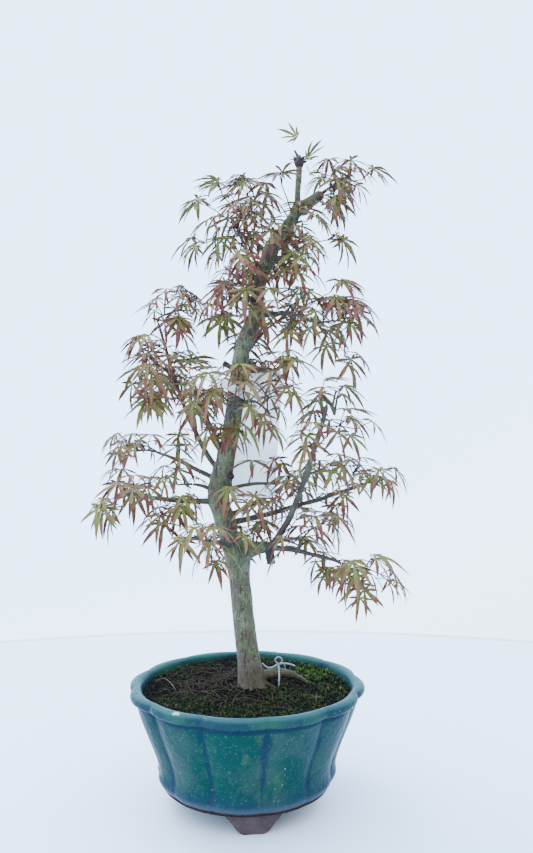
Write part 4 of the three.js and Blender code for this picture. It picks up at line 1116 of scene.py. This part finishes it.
bark_layers = [
    (bloom, 0.4, 0.62, 1, "#697256"),
    (bloom, 0.45, 0.3, 0.8, "#4b4e35"),
    # brown and plum patches
    (patches, 0.49, 0.57, 0.85, "#5e4c43"),
    (patches, 0.46, 0.36, 0.7, "#534540"),
    (fibres, 0.5, 0.66, 0.6, "#33352a"),
    # pores, lichen, and brown wood near the soil
    (pores, 0.6, 0.7, 0.6, "#85876f"),
    (lichen, 0.64, 0.7, 0.5, "#9a9885"),
    (up, 126 * MM, 98 * MM, 0.85, "#4a3e33"),
    (fibres, 0.5, 0.62, 0.35, "#2b2620"),
]
bark.paint("#54593f", bark_layers)
inputs = {"Height": fibres, "Distance": 0.35 * MM}
relief = add_node(bark.tree, "ShaderNodeBump", inputs=inputs).outputs[0]
bark.feed("Normal", relief)
dress(add_mesh("bark_trunk", *join(limb_parts), bark), "bark", "trunk")

# %% [markdown]
# The boughs are younger wood, browner than the trunk and smoother. Where a shoot was
# pruned a short stub is left, dark and knobbly, and the leader ends in a swollen knob
# with buds.

# %% Boughs
BOUGH_SIDES = 14
BOUGH_RING = 2
SLIM = {"fork_up": 0.72}
THICK_LIMBS = ("bough_low_stub", "fork_right", "fork_up")  # old wood, with the trunk's bark

young_bark = Skin("smooth brown young maple bark", 0.65, "#2f2a26")
inputs = {"Vector": young_bark.place, "Scale": 1 / (13 * MM), "Detail": 4}
along_bark = add_node(young_bark.tree, NOISE, inputs=inputs).outputs[0]
inputs = {"Vector": young_bark.place, "Scale": 1 / (1.5 * MM), "Detail": 3}
pores = add_node(young_bark.tree, NOISE, inputs=inputs).outputs[0]
young_layers = [
    (along_bark, 0.48, 0.66, 0.9, "#585b48"),
    (along_bark, 0.42, 0.3, 0.8, "#4a3a38"),
    (pores, 0.6, 0.75, 0.5, "#6b6457"),
]
young_bark.paint("#4b423b", young_layers)
inputs = {"Height": pores, "Distance": 0.2 * MM}
relief = add_node(young_bark.tree, "ShaderNodeBump", inputs=inputs).outputs[0]
young_bark.feed("Normal", relief)


def bough_relief(point, out):
    return 0.28 * rough(point, 9, 1.5) + 0.12 * rough(point, 2.5)


bough_parts, thick_parts = [], []
for name, _, where, *_ in BOUGHS:
    bough = boughs[name]
    length = sum(np.linalg.norm(bough.at((i + 1) / 20) - bough.at(i / 20)) for i in range(20))
    joint_roll = dice(round(100 * where) + round(length))
    joints = [joint_roll() for _ in range(max(2, round(length / 15)))]
    path, radii = [], []
    for t in np.linspace(0, 1, max(6, round(length / BOUGH_RING)) + 1):
        gone = t * length
        fade = min(1, gone / 14) * min(1, (length - gone) / 8)
        point = bough.at(t)
        sway = vec(rough(point, 21), rough(point + 50, 21), rough(point + 90, 21))
        path.append(point + 0.9 * fade * sway)
        swollen = 0.55 * bough.thick * math.exp(-gone / (1.6 * bough.thick))
        ringed = sum(0.22 * hump(gone - j * length, 1.3) for j in joints)
        left = min(1, (length - gone) / bough.thin)
        rounded = max(0.3, math.sqrt(1 - (1 - left) ** 2))
        radii.append((SLIM.get(name, 1) * bough.radius(t) + swollen + ringed) * rounded)
    parts = thick_parts if name in THICK_LIMBS else bough_parts
    parts.append(tube(path, radii, BOUGH_SIDES, bough_relief))
thin_limbs = [name for name in boughs if name not in THICK_LIMBS]
dress(add_mesh("bark_boughs", *join(bough_parts), young_bark), "bark", *thin_limbs)
dress(add_mesh("bark_thick_boughs", *join(thick_parts), bark), "bark", *THICK_LIMBS)

# %% Stubs, knobs and buds
# place, way, length, radius at the foot and at the cut
STUBS = [
    (trunk_at(361), (-0.8, -0.3, 0.5), 16, 2.6, 2.2),
    (trunk_at(270), (0.7, -0.7, 0.1), 13, 2.4, 2.6),
    (trunk_at(300), (-0.5, -0.9, 0.1), 10, 2.2, 1.8),
    (trunk_at(330), (0.9, -0.4, 0.2), 13, 2.0, 1.6),
    (trunk_at(424), (-0.4, -0.9, 0.2), 11, 2.4, 1.8),
    (boughs["bough_low_stub"].at(0.95), (0.1, -0.2, -1), 15, 4.2, 3.6),
]
# height over the leader's tip, and radius there
KNOB_SECTION = [(-4, 1.6), (-2.5, 3), (-0.5, 4.1), (1.5, 4.4), (3.2, 3.6), (4.6, 2.2), (5.4, 0.6)]
BUDS = 7


def lump_relief(point, out):
    return 0.7 * rough(point, 3.2) + 0.3 * rough(point, 1.4)


stub_parts = []
for start, way, length, thick, thin in STUBS:
    path = [start + length * t * unit(vec(*way)) for t in np.linspace(0, 1, 10)]
    stub_parts.append(tube(path, np.linspace(thick, thin, 10), 14, lump_relief))
leader_tip = boughs["fork_up"].tip
path = [leader_tip + high * UP for high, _ in KNOB_SECTION]
stub_parts.append(tube(path, [wide for _, wide in KNOB_SECTION], 16, lump_relief))
for k in range(BUDS):
    way = unit(heading(GOLDEN_TURN * k) + (0.3 + 0.16 * k) * UP)
    path = [leader_tip + UP + gone * way for gone in (2.5, 4.5, 6.2, 7.6)]
    stub_parts.append(tube(path, [1.2, 1.5, 1, 0.2], 8))
dress(add_mesh("bark_stubs", *join(stub_parts), Skin("dark pruned bark", 0.8, "#3b3230")), "bark")

# %% [markdown]
# ## Soil with moss and fine roots
#
# The bowl is filled with dark, damp soil, heaped a little towards the back. Small lumps
# lie loose, moss has spread over the right side and in patches at the front, and on the
# left a felt of dry roots and straw lies bare. The surface is a disc of fine rings
# raised by smooth noise. Its points carry shares of lumps and of moss, and a Geometry
# Nodes tree scatters each over the disc by its share. The roots are thin tubes that
# wander over the surface.

# %% Soil surface
SOIL_RADIUS = 87.4
SOIL_RINGS = 90
SOIL_COLUMNS = 180
SOIL_LEVEL = 91.6
SOIL_HEAP = 2.2  # how much higher the back is than the middle
TRUNK_HEAP = 6.5  # soil and moss banked up round the trunk
SOIL_DEPTH = 12  # of the mesh under the surface
BARE_RIM = 2  # nothing lies on the soil this close to the wall
# across, back, radius
MOSS_PATCHES = [
    (60, 34, 27), (40, -46, 28), (70, -8, 20), (5, -62, 26), (20, 66, 22), (-50, -44, 20),
    (-60, 40, 16), (24, -10, 18),
]
BRIGHT_MOSS = (62, 34, 26)


def soil_height(x, y):
    out, point = math.hypot(x, y), (x, y, 0)
    lumps = 0.9 * rough(point, 16) + 0.7 * rough(point, 5) + 0.4 * rough(point, 2)
    at_wall = 1.6 * max(0, (out - 82) / 5.4)
    return SOIL_LEVEL + SOIL_HEAP * y / SOIL_RADIUS + TRUNK_HEAP * hump(out, 30) + lumps - at_wall


def within(x, y, patch):
    a, b, r = patch
    return math.exp(-(((x - a) ** 2 + (y - b) ** 2) / r**2))


ground_points = [(0, 0, soil_height(0, 0))]
for r in range(1, SOIL_RINGS + 1):
    for c in range(SOIL_COLUMNS):
        out, a = SOIL_RADIUS * r / SOIL_RINGS, 2 * math.pi * c / SOIL_COLUMNS
        x, y = out * math.cos(a), out * math.sin(a)
        ground_points.append((x, y, soil_height(x, y)))
after = [(c + 1) % SOIL_COLUMNS for c in range(SOIL_COLUMNS)]
ground_faces = [(0, 1 + c, 1 + d) for c, d in enumerate(after)]
for r in range(SOIL_RINGS - 1):
    low, high = 1 + r * SOIL_COLUMNS, 1 + (r + 1) * SOIL_COLUMNS
    ground_faces += [(low + c, high + c, high + d, low + d) for c, d in enumerate(after)]
skirt = len(ground_points)
first = skirt - SOIL_COLUMNS
skirt_points = [(x * 0.96, y * 0.96, z - SOIL_DEPTH) for x, y, z in ground_points[first:]]
skirt_faces = [(first + c, skirt + c, skirt + d, first + d) for c, d in enumerate(after)]
skirt_faces.append(tuple(skirt + c for c in range(SOIL_COLUMNS))[::-1])

soil_skin = Skin("damp dark bonsai soil", 0.95, "#15110c", specular=0.05)
inputs = {"Vector": soil_skin.place, "Scale": 1 / (2.4 * MM), "Detail": 6}
crumbs = add_node(soil_skin.tree, NOISE, inputs=inputs).outputs[0]
inputs = {"Vector": soil_skin.place, "Scale": 1 / (22 * MM), "Detail": 4}
wet = add_node(soil_skin.tree, NOISE, inputs=inputs).outputs[0]
soil_layers = [
    (wet, 0.42, 0.62, 1, "#141410"),
    (crumbs, 0.5, 0.7, 0.8, "#241e16"),
    (crumbs, 0.42, 0.3, 0.8, "#070706"),
]
soil_skin.paint("#0d0d0c", soil_layers)
inputs = {"Height": crumbs, "Distance": 1.2 * MM}
relief = add_node(soil_skin.tree, "ShaderNodeBump", inputs=inputs).outputs[0]
soil_skin.feed("Normal", relief)
soil = add_mesh("soil_surface", ground_points + skirt_points, ground_faces + skirt_faces, soil_skin)
dress(soil, "soil", "soil")

ground = add_mesh("ground", ground_points, ground_faces, soil_skin)
shares = {"lumps": [], "bright moss": [], "dark moss": []}
for x, y, _ in ground_points:
    share = max(within(x, y, patch) for patch in MOSS_PATCHES)
    moss = min(1, max(0, 2.1 * share + 1.1 * rough((x, y, 30), 9) - 0.2))
    bright = within(x, y, BRIGHT_MOSS)
    inside = math.hypot(x, y) < SOIL_RADIUS - BARE_RIM
    shares["bright moss"].append(moss * bright * inside)
    shares["dark moss"].append(moss * (1 - 0.6 * bright) * inside)
    shares["lumps"].append((0.25 + 0.75 * (1 - moss)) * inside)
for name, values in shares.items():
    ground.data.attributes.new(name, "FLOAT", "POINT").data.foreach_set("value", values)

# %% The scatter tree
SCATTER_INPUTS = {
    "Geometry": "Geometry", "Thing": "Object", "Material": "Material", "Share": "String",
    "Most per square metre": "Float", "Least size": "Float", "Largest size": "Float",
    "Lean": "Vector", "Lean back": "Vector", "Seed": "Int",
}
scatter = bpy.data.node_groups.new("scatter by share", "GeometryNodeTree")
for name, kind in SCATTER_INPUTS.items():
    scatter.interface.new_socket(name=name, in_out="INPUT", socket_type="NodeSocket" + kind)
scatter.interface.new_socket(name="Geometry", in_out="OUTPUT", socket_type="NodeSocketGeometry")
given = add_node(scatter, "NodeGroupInput").outputs
seed = given["Seed"]
kind = {"data_type": "FLOAT"}
share = add_node(scatter, "GeometryNodeInputNamedAttribute", kind, {"Name": given["Share"]})
inputs = {0: share.outputs["Attribute"], 1: given["Most per square metre"]}
density = add_node(scatter, MATH, TIMES, inputs).outputs[0]
inputs = {"Mesh": given["Geometry"], "Density": density, "Seed": seed}
points = add_node(scatter, "GeometryNodeDistributePointsOnFaces", inputs=inputs).outputs
inputs = {2: given["Least size"], 3: given["Largest size"], "Seed": seed}
size = add_node(scatter, "FunctionNodeRandomValue", kind, inputs).outputs[1]
kind = {"data_type": "FLOAT_VECTOR"}
inputs = {0: given["Lean back"], 1: given["Lean"], "Seed": seed}
lean = add_node(scatter, "FunctionNodeRandomValue", kind, inputs).outputs[0]
inputs = {"Rotation": points["Rotation"], "Rotate By": lean}
turned = add_node(scatter, "FunctionNodeRotateRotation", {"rotation_space": "LOCAL"}, inputs).outputs[0]
thing = add_node(scatter, "GeometryNodeObjectInfo", inputs={"Object": given["Thing"]}).outputs["Geometry"]
inputs = {"Points": points["Points"], "Instance": thing, "Rotation": turned, "Scale": size}
copies = add_node(scatter, "GeometryNodeInstanceOnPoints", inputs=inputs).outputs[0]
real = add_node(scatter, "GeometryNodeRealizeInstances", inputs={"Geometry": copies}).outputs[0]
inputs = {"Geometry": real, "Material": given["Material"]}
painted = add_node(scatter, "GeometryNodeSetMaterial", inputs=inputs).outputs[0]
add_node(scatter, "NodeGroupOutput", inputs={"Geometry": painted})
print("scatter tree:", len(scatter.nodes), "nodes")


# %% Scattering
def scattered(name, thing, skin, share, most, sizes, lean, seed):
    """A plain mesh of copies of a thing, scattered over the ground by the tree above."""
    lean_back = (-lean, -lean, -math.pi)
    values = [thing, skin.material, share, most, *sizes, (lean, lean, math.pi), lean_back, seed]
    modifier = ground.modifiers.new(name, "NODES")
    modifier.node_group = scatter
    named = dict(zip(list(SCATTER_INPUTS)[1:], values, strict=True))
    for item in scatter.interface.items_tree:
        if item.in_out == "INPUT" and item.name in named:
            modifier[item.identifier] = named[item.name]
    evaluated = ground.evaluated_get(bpy.context.evaluated_depsgraph_get())
    mesh = bpy.data.meshes.new_from_object(evaluated)
    ground.modifiers.remove(modifier)
    return link(name, mesh)

# %% Lumps of soil
lump_shape = bmesh.new()
bmesh.ops.create_icosphere(lump_shape, subdivisions=1, radius=1 * MM)
for v in lump_shape.verts:
    v.co *= 1 + 0.3 * noise.noise(v.co / MM * 1.3)
    v.co.z *= 0.7
lump_mesh = bpy.data.meshes.new("lump")
lump_shape.to_mesh(lump_mesh)
lump_shape.free()
lump = link("lump", lump_mesh)
dress(scattered("soil_lumps", lump, soil_skin, "lumps", 200000, (0.4, 1.7), 0.8, 3), "soil")

# %% Moss
MOSS_BLADES = 7
MOSS_KINDS = [
    ("bright moss", "fresh green sheet moss", "#3a571d", "#6a8a36"),
    ("dark moss", "dark olive sheet moss", "#242f16", "#46502a"),
]


def moss_tuft():
    """A few narrow leaning blades round one point."""
    roll = dice(11)
    points, faces = [], []
    for k in range(MOSS_BLADES):
        a = 2 * math.pi * (k + 0.6 * roll()) / MOSS_BLADES
        out = heading(math.degrees(a))
        wide = 0.22 * vec(-out[1], out[0], 0)
        tall = 1.5 + 1.3 * roll()
        lean = 0.5 + 0.9 * roll()
        knee = 0.5 * lean * out + 0.6 * tall * UP
        first = len(points)
        points += [-wide, wide, knee + wide, knee - wide, lean * out + tall * UP]
        faces += [(first, first + 1, first + 2, first + 3), (first + 3, first + 2, first + 4)]
    return points, faces


for k, (share, name, low_colour, high_colour) in enumerate(MOSS_KINDS):
    moss_skin = Skin(name, 0.9, low_colour)
    inputs = {"Vector": moss_skin.place, "Scale": 1 / (6 * MM), "Detail": 3}
    shades = add_node(moss_skin.tree, NOISE, inputs=inputs).outputs[0]
    moss_skin.paint(low_colour, [(shades, 0.4, 0.62, 1, high_colour)])
    blades = add_mesh("tuft", *moss_tuft(), moss_skin, smooth=False)
    moss = scattered(share.replace(" ", "_"), blades, moss_skin, share, 150000, (0.6, 1.25), 0.35, 20 + k)
    bpy.data.objects.remove(blades)
    dress(moss, "soil")
bpy.data.objects.remove(ground)
bpy.data.objects.remove(lump)

# %% Dry roots and straw
STAR = (56, -30)  # where a star of roots lies
hair_roll = dice(5)


def wandering(count, middle, spread, length, thick, turn, lift, steps=7):
    """Thin tubes that wander over the soil round a middle."""
    parts = []
    while len(parts) < count:
        x = middle[0] + spread[0] * (hair_roll() + hair_roll() - 1)
        y = middle[1] + spread[1] * (hair_roll() + hair_roll() - 1)
        a = 2 * math.pi * hair_roll()
        bend = (hair_roll() - 0.5) * turn
        long = length[0] + (length[1] - length[0]) * hair_roll()
        rise = lift * hair_roll()
        path = []
        for k in range(steps + 1):
            arch = math.sin(math.pi * k / steps)
            path.append((x, y, soil_height(x, y) + 0.2 + rise * arch + 0.3 * hair_roll()))
            x += math.cos(a) * long / steps
            y += math.sin(a) * long / steps
            a += bend + (hair_roll() - 0.5) * 0.5
        if max(math.hypot(p[0], p[1]) for p in path) < SOIL_RADIUS - BARE_RIM:
            parts.append(tube(path, np.linspace(thick, thick * 0.5, steps + 1), 4))
    return parts


hairs = wandering(230, (-22, 8), (62, 60), (9, 30), 0.32, 0.5, 3.2)
hairs += wandering(70, (30, -10), (50, 60), (8, 22), 0.28, 0.5, 2.2)
dress(add_mesh("root_hairs", *join(hairs), Skin("dry fibrous roots", 0.9, "#3a3025")), "soil")
straws = wandering(36, (-14, 6), (66, 62), (12, 34), 0.3, 0.22, 3)
for bearing in (10, 75, 130, 200, 265, 320):
    out = heading(bearing)
    start = vec(*STAR, soil_height(*STAR) + 1.6)
    end = start + (7 + 5 * hair_roll()) * out - 1.6 * UP
    path = [bow(start, start + 6 * out + 2 * hair_roll() * UP, end, t) for t in np.linspace(0, 1, 7)]
    straws.append(tube(path, np.linspace(0.5, 0.25, 7), 5))
# a long straw that arches over the soil on the left
arch = vec(-80, 14, 92), vec(-72, 22, 99), vec(-60, -8, 92)
straws.append(tube([bow(*arch, t) for t in np.linspace(0, 1, 14)], [0.45] * 14, 5))
dress(add_mesh("straw", *join(straws), Skin("dry straw", 0.85, "#4d4331")), "soil")

# %% [markdown]
# ## Leaves
#
# A Japanese maple's leaf is a small hand: five long lobes and two short ones, each a
# narrow blade folded along its rib, all drooping from the end of a thin red stalk. It is
# a real mesh of a few dozen faces. Young leaves are yellow-green at the heart of a tuft
# and bronze-red at its tips, so each leaf's lobes are dealt out among eight tints by how
# far out it grows and by a seeded die.

# %% One leaf as a mesh
VISUAL_LOBES = LEAF_LOBES + [(-150, 0.3), (150, 0.3)]
# share of the lobe's length, half width as a share of the middle lobe's length
LOBE_ROWS = [(0, 0.03), (0.24, 0.056), (0.52, 0.08), (0.78, 0.052), (1, 0)]
HEART_ROWS = 3  # rows that keep the leaf's own tint; the rest of the lobe is redder
YOUNG_DROOP = 0.42  # how far a young lobe's tip hangs, as a share of the middle lobe's length
FURL = (0.55, 1.0)  # how far a young leaf has opened its fan of lobes
FOLD = 0.5  # how far a lobe's edges rise over its rib, as a share of the half width


def lobe_rows(leaf, angle, share, roll):
    """Left edge, rib and right edge of one lobe, from the heart to the tip."""
    a = math.radians(angle + (roll() - 0.5) * 9)
    out = math.cos(a) * leaf.ahead + math.sin(a) * leaf.side
    aside = math.cos(a) * leaf.side - math.sin(a) * leaf.ahead
    reach = share * leaf.size * (1.08 + 0.16 * roll())
    twist = (roll() - 0.5) * 0.9
    curl = (roll() - 0.5) * 0.12
    rows = []
    for s, half in LOBE_ROWS:
        droop = YOUNG_DROOP * (share * s) ** 2 * leaf.size
        rib = leaf.heart + s * reach * out - droop * leaf.over + curl * s * s * reach * aside
        wide = half * leaf.size * (0.45 + 0.55 * share)
        left = rib - wide * aside + wide * (FOLD + twist) * leaf.over
        rows.append((left, rib, rib + wide * aside + wide * (FOLD - twist) * leaf.over))
    return rows


def strip(rows):
    """Points and faces that join rows of three points, to a point at the tip if it is the last."""
    points = [p for row in rows for p in row]
    faces = []
    for a in range(0, len(points) - 3, 3):
        faces += [(a, a + 1, a + 4, a + 3), (a + 1, a + 2, a + 5, a + 4)]
    if np.allclose(rows[-1][0], rows[-1][2]):
        a, tip = len(points) - 6, len(points) - 3
        points = points[: tip + 1]
        faces[-2:] = [(a, a + 1, tip), (a + 1, a + 2, tip)]
    return points, faces


# %% Leaves dealt out by tint
TINTS = {
    "lime": "#747139", "green": "#6d6b39", "olive": "#75663b", "khaki": "#7a643f",
    "bronze": "#7b583f", "russet": "#764b3a", "crimson": "#703d37", "wine": "#5c3532",
}
LEAF_GLOW = 0.5  # share of the light that goes through the thin blade
REDDER = 2.9  # how many tints the lobes' outer parts are ahead of the hearts
blades = {tint: [] for tint in TINTS}
stalks, twig_parts = [], []


def deal(index, rows):
    blades[list(TINTS)[int(min(len(TINTS) - 1, max(0, index)))]].append(strip(rows))


for group in tufts + sprays:
    roll = dice(group.seed + 900)
    for leaf in group.leaves:
        out = np.linalg.norm((leaf.heart - group.middle) / group.room)
        index = 1.8 + 1.2 * out * out + (roll() - 0.5) * 4.2
        furl = 0.5 if group.hang < 0 else FURL[0] + (FURL[1] - FURL[0]) * roll()
        for angle, share in VISUAL_LOBES:
            rows = lobe_rows(leaf, angle * furl, share, roll)
            deal(index, rows[:HEART_ROWS])
            deal(index + REDDER + (roll() - 0.5) * 1.6, rows[HEART_ROWS - 1 :])
        middle = (leaf.root + leaf.heart) / 2 + 0.06 * leaf.size * UP
        path = [bow(leaf.root, middle, leaf.heart, t) for t in (0, 0.33, 0.67, 1)]
        stalks.append(tube(path, [0.5, 0.42, 0.4, 0.45], 5))
    for twig in group.twigs:
        steps, sides = (5, 5) if twig.thick < 0.7 else (10, 8)
        ts = [i / steps for i in range(steps + 1)]
        twig_parts.append(tube([twig.at(t) for t in ts], [twig.radius(t) for t in ts], sides))


def glow(skin, weight, depth, radius):
    """Light that goes into a thin piece and comes out again."""
    skin.set("Subsurface Weight", weight)
    skin.set("Subsurface Scale", depth * MM)
    skin.set("Subsurface Radius", radius)


for tint, colour in TINTS.items():
    leaf_skin = Skin("young maple leaf, " + tint, 0.55, colour)
    glow(leaf_skin, LEAF_GLOW, 2, (1, 1, 0.5))
    piece = add_mesh("leaves_" + tint, *join(blades[tint]), leaf_skin)
    dress(piece, "leaf", *[row[0] for row in MASSES])
dress(add_mesh("leaf_stalks", *join(stalks), Skin("red leaf stalk", 0.5, "#4e2c27")), "leaf")
dress(add_mesh("twigs", *join(twig_parts), young_bark), "bark")

# %% [markdown]
# ## Wire and tag
#
# A piece of soft pale wire is twisted round the thick root, its ends left long. The tag
# is a blank plate of thin white plastic with rounded corners. It stands behind the trunk,
# held by a band of the same plastic, and a little light comes through it.

# %% Wire
WIRE_RADIUS = 0.75
WIRES = [
    [(26, -8, 90), (27, -9, 99), (27, -4, 107), (27, 1, 110)],
    [(27, 1, 110), (24, 0, 114), (27, -1, 117), (30, 0, 114), (28, 1, 110), (25, 1, 109)],
    [(27, 1, 111), (22, 1, 108), (17, 0, 108), (13, -2, 112)],
    [(28, 0, 111), (33, 1, 111), (38, 1, 110), (41, 0, 109)],
    [(28, 1, 111), (31, 5, 110), (33, 9, 104), (32, 12, 94)],
]
paths = [smooth_rows(turns, 6) for turns in WIRES]
wires = [tube(path, [WIRE_RADIUS] * len(path), 8) for path in paths]
wire_skin = Skin("dull galvanised wire", 0.4, "#8c9494", specular=0.3, Metallic=0.4)
dress(add_mesh("wire_tie", *join(wires), wire_skin), "bark")

# %% Tag
TAG_THICKNESS = 1
TAG_CORNER = 4  # radius
TAG_CORNER_STEPS = 6
BAND_TILT = 32  # degrees: the band hangs lower on the right
BAND_SAG = 8
BAND_THICKNESS = 0.9
BAND_SIDES = 48

tag_skin = Skin("thin white polypropylene", 0.45, "#f3f5f5")
glow(tag_skin, 1, 3, (1, 1, 1))
right, top = TAG_WIDTH / 2 - TAG_CORNER, TAG_LENGTH - TAG_CORNER
corners = [(right, TAG_CORNER, -90), (right, top, 0), (-right, top, 90), (-right, TAG_CORNER, 180)]
outline = []
for x, z, first in corners:
    for k in range(TAG_CORNER_STEPS + 1):
        a = math.radians(first + 90 * k / TAG_CORNER_STEPS)
        outline.append((x + TAG_CORNER * math.cos(a), z + TAG_CORNER * math.sin(a)))
faces_apart = (-TAG_THICKNESS / 2, TAG_THICKNESS / 2)
tag_points = [TAG_FOOT + vec(x, y, 0) + z * TAG_SLANT for y in faces_apart for x, z in outline]
n = len(outline)
tag_faces = [tuple(range(n)), tuple(range(2 * n - 1, n - 1, -1))]
tag_faces += [(i, i + n, (i + 1) % n + n, (i + 1) % n) for i in range(n)]

band_points = []
for wide, high in ((0, 0), (BAND_THICKNESS, 0), (BAND_THICKNESS, BAND_WIDTH), (0, BAND_WIDTH)):
    for k in range(BAND_SIDES):
        out = (BAND_RADIUS + wide) * heading(360 * k / BAND_SIDES)
        hang = BAND_SAG + math.tan(math.radians(BAND_TILT)) * out[0]
        band_points.append(vec(*BAND_MIDDLE, BAND_FOOT + high - hang) + out)
tag_parts = [(tag_points, tag_faces), (band_points, ring_faces(4, BAND_SIDES))]
dress(add_mesh("white_tag", *join(tag_parts), tag_skin, smooth=False), "tag", "tag")
